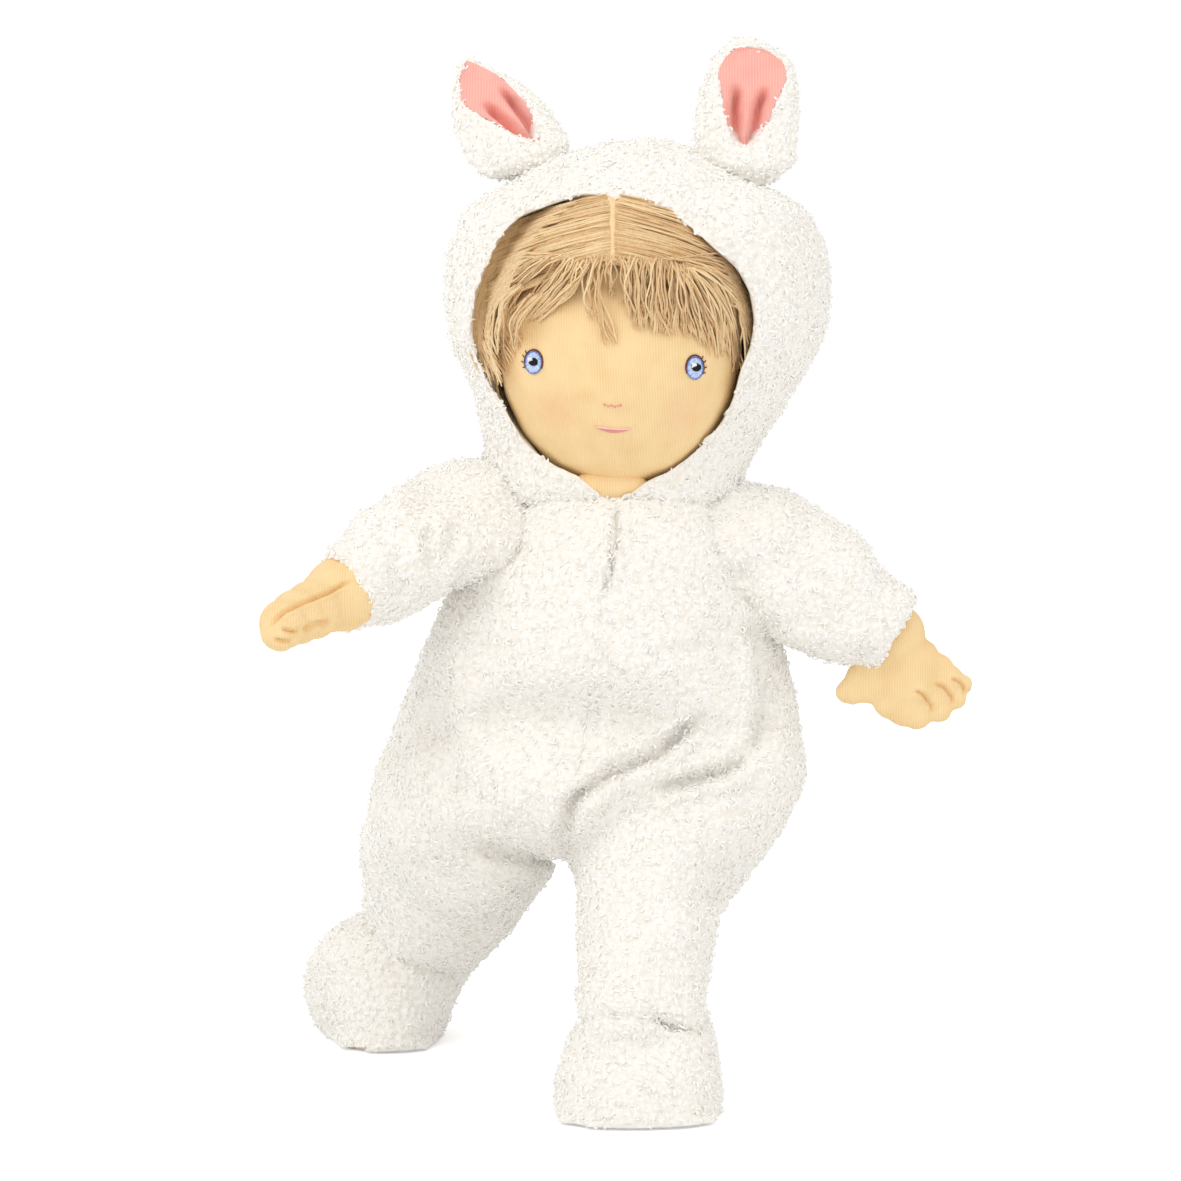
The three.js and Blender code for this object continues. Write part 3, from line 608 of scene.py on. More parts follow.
@dataclass(frozen=True)
class Plush(Finish):
    """Looped cotton plush: matt, with small tufts that shade each other."""

    bump: float = 0.2
    bump_depth: float = 0.5 * MM
    tuft: float = 1.6 * MM
    patch: float = 22.0 * MM
    patch_tone: float = 0.3
    # Names the attribute that holds painted shade: low deep in the pile, high on the tops of loops and tufts
    height: str = "painted_pile_shade"

    def make(self) -> bpy.types.Material:
        """Builds the material."""
        material, tree, given = self.start()
        place = given.outputs["Object"]
        tufts = add_node(
            tree,
            "ShaderNodeTexNoise",
            {"Vector": place, "Scale": 1.0 / self.tuft, "Detail": 3.0},
        )
        patches = add_node(
            tree,
            "ShaderNodeTexNoise",
            {"Vector": place, "Scale": 1.0 / self.patch, "Detail": 2.0},
        )
        height = add_node(tree, "ShaderNodeAttribute", {}, attribute_name=self.height)
        # The ground between the loops is painted darker than their tops, as painted shade deep in the pile,
        # and broad patches differ a little by the way the pile lies
        broad = add_node(
            tree,
            "ShaderNodeMath",
            {0: patches.outputs[0], 1: self.patch_tone, 2: -self.patch_tone / 2},
            operation="MULTIPLY_ADD",
        )
        both = add_node(
            tree,
            "ShaderNodeMath",
            {0: height.outputs["Fac"], 1: broad.outputs[0]},
            operation="ADD",
            use_clamp=True,
        )
        self.shine(tree, self.mix(tree, both.outputs[0]), tufts.outputs[0])
        return material


@dataclass(frozen=True)
class Jersey(Finish):
    """Fine cotton jersey: straight wales with a soft groove between them.

    Turn lays the wales along the piece, course is the height of a knitted row as a share of a
    wale, and blush names warm spots and their reach.
    """

    bump: float = 0.55
    bump_depth: float = 0.16 * MM
    wale: float = 0.9 * MM
    waver: float = 0.6
    course: float = 0.8
    course_tone: float = 0.25
    # How much darker the grooves between wales are painted, as painted shade
    groove_shade: float = 0.45
    cloud: float = 9.0 * MM
    side_from: tuple[float, float] = (0.66, 0.78)
    turn: tuple[float, float, float] = (0.0, 0.0, 0.0)
    blush: tuple[tuple[float, float, float], ...] = ()
    blush_colour: str = "#EFA58E"
    blush_reach: float = 13.0 * MM
    blush_strength: float = 0.22

    def make(self) -> bpy.types.Material:
        """Builds the material."""
        material, tree, given = self.start()
        place = given.outputs["Object"]
        laid, facing = (
            add_node(tree, "ShaderNodeMapping", {"Vector": given.outputs[kind], "Rotation": self.turn})
            for kind in ("Object", "Normal")
        )
        aside = add_node(tree, "ShaderNodeSeparateXYZ", {0: facing.outputs[0]})
        away = add_node(tree, "ShaderNodeMath", {0: aside.outputs["X"]}, operation="ABSOLUTE")
        low, high = self.side_from
        turned = add_node(tree, "ShaderNodeMapRange", {0: away.outputs[0], 1: low, 2: high, 3: 0.0, 4: 1.0})
        # The wales run on round the sides, where they are counted front to back
        wale = {
            "Vector": laid.outputs[0],
            "Scale": wave_scale(self.wale),
            "Distortion": self.waver,
            "Detail Scale": 2.0,
        }
        front, side = (
            add_node(tree, "ShaderNodeTexWave", wale, bands_direction=direction) for direction in "XY"
        )
        wales = add_node(
            tree,
            "ShaderNodeMix",
            {0: turned.outputs[0], 2: front.outputs[1], 3: side.outputs[1]},
            data_type="FLOAT",
        )
        rows = add_node(
            tree,
            "ShaderNodeTexWave",
            {"Vector": laid.outputs[0], "Scale": wave_scale(self.wale * self.course)},
            bands_direction="Z",
        )
        knit = add_node(
            tree,
            "ShaderNodeMath",
            {0: rows.outputs[1], 1: self.course_tone, 2: wales.outputs[0]},
            operation="MULTIPLY_ADD",
        )
        cloud = add_node(tree, "ShaderNodeTexNoise", {"Vector": place, "Scale": 1.0 / self.cloud})
        # The grooves between wales are painted a little darker, as painted shade, and the dye is not quite
        # even
        tone = add_node(
            tree,
            "ShaderNodeMath",
            {0: knit.outputs[0], 1: self.groove_shade, 2: cloud.outputs[0]},
            operation="MULTIPLY_ADD",
        )
        colour = self.mix(tree, tone.outputs[0])
        for spot in self.blush:
            gap = add_node(tree, "ShaderNodeVectorMath", {0: place, 1: spot}, operation="DISTANCE")
            near = add_node(
                tree,
                "ShaderNodeMapRange",
                {0: gap.outputs["Value"], 1: 0.0, 2: self.blush_reach, 3: self.blush_strength, 4: 0.0},
                interpolation_type="SMOOTHSTEP",
            )
            warm = {0: near.outputs[0], 6: colour, 7: linear(self.blush_colour)}
            colour = add_node(tree, "ShaderNodeMix", warm, data_type="RGBA").outputs[2]
        self.shine(tree, colour, knit.outputs[0])
        return material


@dataclass(frozen=True)
class Fibre(Finish):
    """Yarn, thread or loose wool: each strand a slightly different tone."""

    grain: float = 1.2 * MM
    mottling: float = 0.6
    spread: float = 0.7

    def make(self) -> bpy.types.Material:
        """Builds the material."""
        material, tree, given = self.start()
        grain = add_node(
            tree,
            "ShaderNodeTexNoise",
            {"Vector": given.outputs["Object"], "Scale": 1.0 / self.grain, "Detail": 4.0},
        )
        strand = add_node(tree, "ShaderNodeNewGeometry", {}).outputs["Random Per Island"]
        # Strands spun from several tones, with finer mottling along each
        tone = add_node(tree, "ShaderNodeMath", {0: strand, 1: self.spread}, operation="MULTIPLY")
        mottled = add_node(
            tree,
            "ShaderNodeMath",
            {0: grain.outputs[0], 1: self.mottling, 2: tone.outputs[0]},
            operation="MULTIPLY_ADD",
        )
        self.shine(tree, self.mix(tree, mottled.outputs[0]), grain.outputs[0])
        return material


# On plush the shade colour is painted shade, deep in the pile. On jersey and velour it is partly painted
# shade, in the grooves between wales, and partly an uneven dye
PLUSH = Plush("looped cotton plush, ivory", "#FFFEFB", "#F4EEE4", "plush", roughness=0.95, sheen=0.2)
BODY_JERSEY = Jersey("knitted cotton jersey, peach", "#FADCA8", "#EDC386", "jersey")
VELOUR = Jersey("cotton velour, coral pink", "#FBB9AB", "#EF968A", "velour", sheen=0.4, wale=1.0 * MM)
STUFFING = Fibre(
    "carded wool stuffing", "#F3EEE2", "#DDD3BF", "wool_stuffing", grain=3.0 * MM, bump_depth=0.6 * MM
)
HAIR_YARN = Fibre("spun wool yarn, ash blond", "#F8DDAE", "#C99860", "yarn", roughness=0.85, sheen=0.2)
SEWING_THREAD = Fibre("sewing thread, natural", "#F0E2C4", "#D6C39B", roughness=0.7)
TAPE = Fibre("woven hook and loop tape, white", "#F5F2EA", "#DCD7CB", grain=0.8 * MM, bump_depth=0.3 * MM)
SOLE_CLOTH = Fibre(
    "felted wool sole, natural", "#F1E6D2", "#DCCBAE", "sole_cloth", grain=1.0 * MM, bump_depth=0.25 * MM
)
IRIS_THREAD = Fibre(
    "stranded cotton, sky blue", "#D6E3FB", "#8FAEE6", "blue_embroidery", roughness=0.55, spread=0.9
)
IRIS_EDGE = Fibre("stranded cotton, cornflower", "#7D9CDB", "#5675BD", "blue_embroidery", roughness=0.55)
PUPIL_THREAD = Fibre("stranded cotton, black", "#201C1E", "#0C0A0B", "black_embroidery", roughness=0.5)
GLINT_THREAD = Fibre("stranded cotton, white", "#FFFFFF", "#F2F4F8", "thread", roughness=0.5)
LID_THREAD = Fibre("stranded cotton, chestnut", "#7C4438", "#572C25", "thread", roughness=0.6)
LIP_THREAD = Fibre("stranded cotton, rose", "#F0A49F", "#DE8B87", "pink_embroidery", roughness=0.55)
PALE_LIP_THREAD = Fibre(
    "stranded cotton, shell pink", "#FBDAD4", "#F3BDB6", "pink_embroidery", roughness=0.55
)


@dataclass
class Wardrobe:
    """Makes each finish once, and gives it to every piece that uses it."""

    made: dict[str, bpy.types.Material] = field(default_factory=dict)

    def dress(self, obj: bpy.types.Object, finish: Finish) -> None:
        """Puts a finish on a piece or a CAD node."""
        if finish.name not in self.made:
            self.made[finish.name] = finish.make()
        obj.data.materials.clear()
        obj.data.materials.append(self.made[finish.name])

    def hand_over(
        self,
        obj: bpy.types.Object,
        finish: Finish,
        nodes: Sequence[str] = (),
        body: str = "",
    ) -> None:
        """Dresses a finished piece, gives it its place in the frame and reports it.

        Args:
            obj: the piece.
            finish: what it is made of.
            nodes: the CAD nodes that it stands for.
            body: the body that it rides on, if it rides on one.
        """
        self.dress(obj, finish)
        if nodes:
            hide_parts(*nodes)
        if body:
            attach(obj, body)
        count = sum(len(face.vertices) - 2 for face in obj.data.polygons)
        log.info("%s: %d triangles", obj.name, count)


# Plush pile


@dataclass
class CurlPile:
    """Looped pile: tufts all over the cloth, and loose loops of yarn that stand out of them.

    Real loops are about 1.2 mm apart. These are wider apart and a little larger, so that a
    piece stays light. A loop is an arc of one radius and turn, in degrees.
    """

    spacing: float = 1.5 * MM
    crowding: float = 1.6
    yarn: float = 0.3 * MM
    loops: tuple[tuple[float, float], ...] = ((0.6 * MM, 215.0), (0.5 * MM, 285.0), (0.75 * MM, 170.0))
    loop_steps: int = 4
    # Painted shade along each loop: its tone at the root, and how much it lightens towards the tip
    loop_shade: tuple[float, float] = (0.7, 0.6)
    lean: tuple[float, float] = (1.1, 0.5)
    sizes: tuple[float, float] = (0.75, 1.35)
    tuft_width: float = 2.1 * MM
    tuft_height: float = 1.5 * MM
    tuft_middle: float = 0.3
    # Painted shade of the ground between the tufts
    cloth_shade: float = 0.55
    attribute: str = "pile"
    store: bpy.types.Collection | None = None
    tufts: bpy.types.Texture | None = None

    def build(self) -> None:
        """Models three loops, each an arc of yarn that rises from the cloth and turns over."""
        self.tufts = bpy.data.textures.new("tufts", "VORONOI")
        self.tufts.noise_scale = self.tuft_width
        self.store = bpy.data.collections.new("curls")
        bpy.context.scene.collection.children.link(self.store)
        root_shade, shade_rise = self.loop_shade
        for index, (bend, turn) in enumerate(self.loops):
            bpy.ops.mesh.primitive_circle_add(vertices=3, radius=self.yarn, fill_type="NOTHING")
            curl = bpy.context.object
            curl.name = f"curl_{index}"
            with editing(curl):
                bpy.ops.mesh.spin(
                    steps=self.loop_steps,
                    angle=-math.radians(turn),
                    center=(bend, 0.0, 0.0),
                    axis=(0.0, 1.0, 0.0),
                )
                bpy.ops.mesh.select_all(action="SELECT")
                bpy.ops.mesh.normals_make_consistent(inside=False)
            # Each loop is painted darker towards its root, as painted shade deep in the pile
            rise = coords(curl)[:, 2] / (2.0 * bend)
            note(curl, PLUSH.height, (root_shade + shade_rise * rise).clip(0.0, 1.0))
            for collection in list(curl.users_collection):
                collection.objects.unlink(curl)
            self.store.objects.link(curl)

    def cover(self, obj: bpy.types.Object, seed: int) -> None:
        """Stands loops all over a piece that has its tufts.

        Args:
            obj: the piece of plush.
            seed: which scatter.
        """
        spacing = self.spacing * 1.0
        tip, roll = self.lean
        smallest, largest = self.sizes
        tree = bpy.data.node_groups.new("curl pile", "GeometryNodeTree")
        tree.interface.new_socket("Cloth", in_out="INPUT", socket_type="NodeSocketGeometry")
        tree.interface.new_socket("Plush", in_out="OUTPUT", socket_type="NodeSocketGeometry")
        cloth = add_node(tree, "NodeGroupInput", {}).outputs[0]
        pile = add_node(tree, "GeometryNodeInputNamedAttribute", {"Name": self.attribute}, data_type="FLOAT")
        roots = add_node(
            tree,
            "GeometryNodeDistributePointsOnFaces",
            {
                "Mesh": cloth,
                "Distance Min": spacing,
                "Density Max": self.crowding / spacing**2,
                "Density Factor": pile.outputs[0],
                "Seed": seed,
            },
            distribute_method="POISSON",
        )
        curls = add_node(
            tree,
            "GeometryNodeCollectionInfo",
            {"Collection": self.store, "Separate Children": True, "Reset Children": True},
        )
        lean = add_node(
            tree,
            "FunctionNodeRandomValue",
            {0: (-tip, -roll, 0.0), 1: (tip, roll, 2.0 * math.pi), "Seed": seed + 1},
            data_type="FLOAT_VECTOR",
        )
        leaning = add_node(tree, "FunctionNodeEulerToRotation", {0: lean.outputs[0]})
        turned = add_node(
            tree,
            "FunctionNodeRotateRotation",
            {0: roots.outputs["Rotation"], 1: leaning.outputs[0]},
            rotation_space="LOCAL",
        )
        size = add_node(
            tree,
            "FunctionNodeRandomValue",
            {2: smallest, 3: largest, "Seed": seed + 2},
            data_type="FLOAT",
        )
        stood = add_node(
            tree,
            "GeometryNodeInstanceOnPoints",
            {
                "Points": roots.outputs["Points"],
                "Instance": curls.outputs[0],
                "Pick Instance": True,
                "Rotation": turned.outputs[0],
                "Scale": size.outputs[1],
            },
        )
        loops = add_node(tree, "GeometryNodeRealizeInstances", {"Geometry": stood.outputs[0]})
        both = add_node(tree, "GeometryNodeJoinGeometry", {})
        tree.links.new(loops.outputs[0], both.inputs[0])
        tree.links.new(cloth, both.inputs[0])
        add_node(tree, "NodeGroupOutput", {0: both.outputs[0]})
        apply_modifier(obj, "NODES", node_group=tree)
        bpy.data.node_groups.remove(tree)
        obj.data.attributes.remove(obj.data.attributes[self.attribute])

    def raise_tufts(self, obj: bpy.types.Object, share: np.ndarray | None = None) -> None:
        """Presses small tufts up out of the cloth, and paints shade on it that is darker the lower each
        point stands.

        Args:
            obj: the piece of plush.
            share: for each vertex, how much of the pile stands there.
        """
        shade_smooth(obj)
        note(obj, self.attribute, np.ones(len(obj.data.vertices)) if share is None else share)
        apply_modifier(obj, "SUBSURF", levels=1, render_levels=1, subdivision_type="SIMPLE")
        standing = np.empty(len(obj.data.vertices), np.float32)
        obj.data.attributes[self.attribute].data.foreach_get("value", standing)
        flat, outward = coords(obj), normals(obj)
        apply_modifier(
            obj,
            "DISPLACE",
            texture=self.tufts,
            texture_coords="LOCAL",
            strength=-self.tuft_height,
            mid_level=self.tuft_middle,
        )
        risen = ((coords(obj) - flat) * outward).sum(axis=1) * standing
        put(obj, flat + outward * risen[:, None])
        # Painted shade: the ground between the tufts is darker than their tops
        note(obj, PLUSH.height, (self.cloth_shade + risen / self.tuft_height).clip(0.0, 1.0))

    def clear(self) -> None:
        """Removes the loops that were copied from."""
        for curl in list(self.store.objects):
            bpy.data.objects.remove(curl)
        bpy.data.collections.remove(self.store)


# Strands


def strands(
    name: str,
    paths: Sequence[Sequence[Vector]],
    radius: float,
    sides: int = 1,
    taper: float = 0.45,
) -> bpy.types.Object:
    """Round strands that follow paths, as one mesh.

    Args:
        name: name of the piece.
        paths: the points that each strand follows.
        radius: half thickness of a strand.
        sides: how finely it is rounded.
        taper: thickness of its ends, as a share.

    Returns:
        The new object.
    """
    curve = bpy.data.curves.new(name, "CURVE")
    curve.dimensions = "3D"
    curve.bevel_depth = radius
    curve.bevel_resolution = sides
    curve.use_fill_caps = True
    for path in paths:
        spline = curve.splines.new("POLY")
        spline.points.add(len(path) - 1)
        for index, point in enumerate(path):
            spline.points[index].co = (*point, 1.0)
            near_end = index in (0, len(path) - 1)
            spline.points[index].radius = taper if near_end else 1.0
    obj = bpy.data.objects.new(name, curve)
    bpy.context.scene.collection.objects.link(obj)
    activate(obj)
    bpy.ops.object.convert(target="MESH")
    obj = bpy.context.object
    obj.data.name = name
    bpy.ops.object.shade_smooth()
    return obj


# Suit


@dataclass
class Suit:
    """The plush suit from neck to ankles, in two halves that meet at the centre seam.

    The seam, crotch, fade and the inner rows and columns that are eased are photo pixels.
    """

    voxel: float = 3.2 * MM
    fill: float = 0.6
    seam_top: Pixel = (616.0, 497.0)
    seam_foot: Pixel = (566.0, 866.0)
    crotch: float = 8.0
    fade: float = 40.0
    seat_drop: float = 3.0 * MM
    seat_radii: Radii = (75.0 * MM, 45.0 * MM, 32.0 * MM)
    gusset_radii: Radii = (60.0 * MM, 38.0 * MM, 28.5 * MM)
    hip_set: Vector = Vector((13.0, -8.5, -14.0)) * MM
    hip_radii: Radii = (30.0 * MM, 32.0 * MM, 42.0 * MM)
    leg_line: Vector = Vector((0.0, 0.0, 26.0)) * MM
    back_depth: float = 18.0 * MM
    inner_above: tuple[float, float] = (30.0, 10.0)
    inner_below: tuple[float, float] = (90.0, 50.0)
    inner_aside: tuple[float, float] = (90.0, 45.0)
    gusset: bpy.types.Object | None = None
    folds: tuple[Fold, ...] = (
        Fold(((616, 496), (617, 530), (613, 562), (605, 600)), 1.2 * MM, 3.2 * MM),
        Fold(((600, 640), (602, 652), (615, 670), (631, 686)), 1.6 * MM, 1.6 * MM),
        Fold(((482, 612), (490, 660), (512, 752)), 7.0 * MM, 2.6 * MM),
        Fold(((596, 690), (588, 740), (578, 790), (566, 866)), 3.0 * MM, 1.8 * MM),
        Fold(
            ((552, 852), (572, 803), (608, 774), (660, 751), (694, 722), (712, 710)),
            2.3 * MM,
            5.6 * MM,
            0.45,
        ),
        Fold(((648, 792), (684, 783), (725, 770), (758, 752)), 2.4 * MM, 5.2 * MM, 0.45),
        Fold(((740, 612), (763, 640), (768, 690), (760, 735), (752, 765)), 3.4 * MM, 5.0 * MM, 0.4),
        Fold(((648, 656), (680, 651), (710, 645)), 2.4 * MM, 1.2 * MM),
        Fold(((470, 846), (520, 858), (560, 858)), 3.0 * MM, 2.6 * MM),
        Fold(((410, 770), (450, 790), (500, 800)), 6.0 * MM, 1.6 * MM),
        Fold(((432, 672), (440, 720), (450, 770), (456, 812)), 5.0 * MM, 2.4 * MM),
        Fold(((600, 905), (640, 915), (690, 905)), 5.0 * MM, 1.2 * MM),
    )
    outlines: ClassVar[dict[Side, Outline]] = {
        Side.LEFT: outline(
            (620, 599, 777), (660, 594, 785), (700, 588, 795), (730, 584, 803), (760, 580, 806),
            (780, 578, 804), (800, 575, 797), (830, 571, 782), (856, 568, 763), (866, 570, 755),
            (880, 576, 744), (900, 576, 728), (930, 575, 717), (960, 577, 711), (990, 580, 707),
            (1030, 585, 704),
        ),
        Side.RIGHT: outline(
            (585, 452, 604), (620, 434, 599), (650, 421, 595), (700, 407, 588), (740, 392, 583),
            (770, 376, 579), (800, 369, 575), (830, 364, 571), (856, 362, 567), (870, 361, 561),
            (880, 361, 549), (900, 363, 530), (925, 367, 513), (950, 376, 494), (970, 386, 480),
        ),
    }

    def build(self, pile: CurlPile) -> dict[Side, bpy.types.Object]:
        """Models both halves, and the plush seat behind their seam."""
        hips = (joint_point("left_leg_swing") + joint_point("right_leg_swing")) / 2
        seat_place = hips - Vector((0.0, 0.0, self.seat_drop))
        seat = lump(seat_place, self.seat_radii)
        bulges = []
        for side in Side:
            set_in = Vector((side.sign * self.hip_set.x, side.sign * self.hip_set.y, self.hip_set.z))
            bulges.append(lump(joint_point(side.node("leg_swing")) + set_in, self.hip_radii))
        trunk = copy_node("suit_body", "suit_trunk", solid=True)
        legs = [copy_node(side.node("trouser"), side.node("suit"), solid=True) for side in Side]
        whole = weld("suit", [trunk, seat, *bulges, *legs], self.voxel)
        smooth(whole, rounds=12)
        swell(whole, pressure=3.0, cap=4.0 * MM, shrink=-0.02)
        for side in Side:
            self.fill_outline(whole, side)
        smooth(whole, rounds=2)
        self.ease(whole, hips.y)
        subdivide(whole)
        ripple(whole, size=34.0 * MM, height=0.9 * MM, seed=3)
        press(whole, self.folds)
        self.gusset = lump(seat_place, self.gusset_radii)
        rename(self.gusset, "plush_seat")
        remesh(self.gusset, self.voxel)
        subdivide(self.gusset)
        pile.raise_tufts(whole)
        return self.split(whole)

    def seam(self, down: np.ndarray) -> np.ndarray:
        """Column of the centre seam in each row of the photograph."""
        (top_column, top_row), (foot_column, foot_row) = self.seam_top, self.seam_foot
        return np.interp(down, (top_row, foot_row), (top_column, foot_column))

    def ease(self, whole: bpy.types.Object, middle: float) -> None:
        """Smooths the inside of the legs and the back, where no outline holds the cloth."""
        points = coords(whole)
        pixels, _ = PHOTO.pixels(points)
        down = pixels[:, 1] - self.seam_foot[1]
        far_above, above = self.inner_above
        far_below, below = self.inner_below
        inside = smoothstep(-far_above, -above, down) * smoothstep(far_below, below, down)
        inside *= smoothstep(*self.inner_aside, np.abs(pixels[:, 0] - self.seam(pixels[:, 1])))
        behind = smoothstep(0.0, self.back_depth, points[:, 1] - middle)
        smooth(whole, rounds=10)
        weight = np.maximum(inside, behind)[:, None]
        put(whole, points + (coords(whole) - points) * weight)

    def fill_outline(self, whole: bpy.types.Object, side: Side) -> None:
        """Draws one side of the suit out to its outline, from the centre seam that stays still."""
        points = coords(whole)
        pixels, span = PHOTO.pixels(points)
        across, down = pixels[:, 0], pixels[:, 1]
        seam = self.seam(down)
        foot = self.seam_foot[1]
        mine = (across - seam) * side.sign > 0.0
        steps, low, high = edges(down[mine], across[mine])
        inner, outer = (low, high) if side is Side.LEFT else (high, low)
        rows = [reach.at for reach in self.outlines[side]]
        lows = [reach.low for reach in self.outlines[side]]
        highs = [reach.high for reach in self.outlines[side]]
        inner_row, outer_row = (lows, highs) if side is Side.LEFT else (highs, lows)
        # Below the crotch each leg has an inner edge of its own
        apart = smoothstep(foot - 2.0 * self.crotch, foot - self.crotch, down)
        inner_now = seam + (np.interp(down, steps, inner) - seam) * apart
        inner_wanted = seam + (np.interp(down, rows, inner_row) - seam) * apart
        outer_now = np.interp(down, steps, outer)
        outer_wanted = np.interp(down, rows, outer_row)
        width = (outer_now - inner_now) * side.sign
        share = (across - inner_now) * side.sign / np.maximum(width, 1.0)
        wanted = inner_wanted + share * (outer_wanted - inner_wanted)
        weight = smoothstep(rows[0] - self.fade, rows[0], down) * mine
        points[:, 0] += (wanted - across) * weight * span
        put(whole, points)

    def split(self, whole: bpy.types.Object) -> dict[Side, bpy.types.Object]:
        """Cuts the suit along its centre seam into closed halves."""
        top = PHOTO.ray(self.seam_top)
        foot = PHOTO.ray(self.seam_foot)
        across = top.cross(foot).normalized()
        halves = {}
        for side in Side:
            half = twin(whole, side.node("suit_half"))
            keep_left = (across.x > 0) == (side is Side.LEFT)
            with editing(half):
                bpy.ops.mesh.bisect(
                    plane_co=PHOTO.eye,
                    plane_no=across,
                    use_fill=True,
                    clear_inner=keep_left,
                    clear_outer=not keep_left,
                )
            halves[side] = half
        bpy.data.objects.remove(whole)
        return halves

    def dress(self, halves: dict[Side, bpy.types.Object], pile: CurlPile, wardrobe: Wardrobe) -> None:
        """Covers the halves in pile and dresses them."""
        # The plush seat behind the leg seams shows where a swung leg opens them
        pile.raise_tufts(self.gusset)
        wardrobe.hand_over(self.gusset, PLUSH, body="torso")
        for number, (side, half) in enumerate(halves.items()):
            pile.cover(half, seed=11 + number)
            pivot = joint_point(side.node("leg_swing"))
            side.node("leg")
            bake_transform(half)
            nodes = [side.node("trouser")]
            if side is Side.LEFT:
                nodes.append("suit_body")
            wardrobe.hand_over(half, PLUSH, nodes)


@dataclass
class Sleeve:
    """A set-in plush sleeve."""

    side: Side
    voxel: float = 2.8 * MM
    fill: float = 0.55
    pile_depth: float = 0.9 * MM
    puff_radii: Radii = (24.0 * MM, 25.0 * MM, 25.0 * MM)
    cuff_draw: float = 2.0 * MM
    cuff_mouth: float = 12.5 * MM
    cuff_hollow: float = 7.0 * MM
    bend_before: float = 6.0 * MM
    bend_after: float = 26.0 * MM
    puffs: ClassVar[dict[Side, Pixel]] = {Side.LEFT: (757, 548), Side.RIGHT: (472, 522)}
    outlines: ClassVar[dict[Side, Outline]] = {
        Side.LEFT: outline(
            (745, 480, 626), (760, 482, 636), (780, 485, 647), (800, 493, 656), (823, 505, 664),
            (845, 525, 670),
        ),
        Side.RIGHT: outline(
            (372, 505, 627), (390, 486, 628), (410, 474, 619), (430, 464, 605), (450, 457, 596),
            (470, 455, 588), (490, 454, 580),
        ),
    }
    folds: ClassVar[dict[Side, tuple[Fold, ...]]] = {
        Side.LEFT: (
            Fold(((735, 560), (748, 590), (742, 615)), 4.0 * MM, 1.6 * MM),
            Fold(((800, 560), (820, 600), (815, 640)), 7.0 * MM, 1.4 * MM),
        ),
        Side.RIGHT: (
            Fold(((428, 520), (431, 545), (434, 570)), 2.2 * MM, 2.4 * MM),
            Fold(((460, 515), (452, 540), (446, 565)), 2.4 * MM, 2.2 * MM),
            Fold(((470, 560), (463, 580), (455, 600)), 2.2 * MM, 2.4 * MM),
            Fold(((395, 540), (400, 575), (405, 605)), 3.0 * MM, 1.8 * MM),
        ),
    }

    def build(self, pile: CurlPile, wardrobe: Wardrobe) -> None:
        """Models the sleeve."""
        node = self.side.node("sleeve")
        arm = copy_node(node, self.side.node("plush_sleeve"), solid=True)
        depth = joint_point(self.side.node("arm_raise")).y
        puff = lump(PHOTO.at_depth(self.puffs[self.side], depth), self.puff_radii)
        sleeve = weld(self.side.node("plush_sleeve"), [arm, puff], self.voxel)
        smooth(sleeve, rounds=20)
        swell(sleeve, pressure=3.0, cap=3.0 * MM, shrink=-0.03)
        fit([sleeve], self.outlines[self.side], upright=True)
        subdivide(sleeve)
        ripple(sleeve, size=22.0 * MM, height=0.6 * MM, seed=self.side.seed(21))
        press(sleeve, self.folds[self.side])
        put(sleeve, coords(sleeve) - normals(sleeve) * self.pile_depth)
        self.open_cuff(sleeve)
        pile.raise_tufts(sleeve)
        pile.cover(sleeve, seed=self.side.seed(23))
        pivot, out, _ = self.axis()
        self.side.node("shoulder")
        self.side.node("arm")
        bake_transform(sleeve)
        wardrobe.hand_over(sleeve, PLUSH, [node])

    def axis(self) -> tuple[Vector, Vector, float]:
        """The shoulder pivot, the way along the arm, and how far the cuff is."""
        pivot = joint_point(self.side.node("arm_raise"))
        along = node_middle(self.side.node("wrist_tie")) - pivot
        return pivot, along.normalized(), along.length

    def open_cuff(self, sleeve: bpy.types.Object) -> None:
        """Draws the end of the sleeve out over the wrist and hollows it."""
        pivot, out, reach = self.axis()
        points = coords(sleeve)
        from_pivot = points - np.array(pivot)
        along = from_pivot @ np.array(out)
        radius = np.linalg.norm(from_pivot - along[:, None] * np.array(out), axis=1)
        near = smoothstep(reach - self.cuff_draw * 4.0, reach - self.cuff_draw, along)
        hollow = near * (1.0 - smoothstep(self.cuff_mouth - 2.5 * MM, self.cuff_mouth + 0.5 * MM, radius))
        moved = near * self.cuff_draw - hollow * self.cuff_hollow
        put(sleeve, points + np.array(out) * moved[:, None])


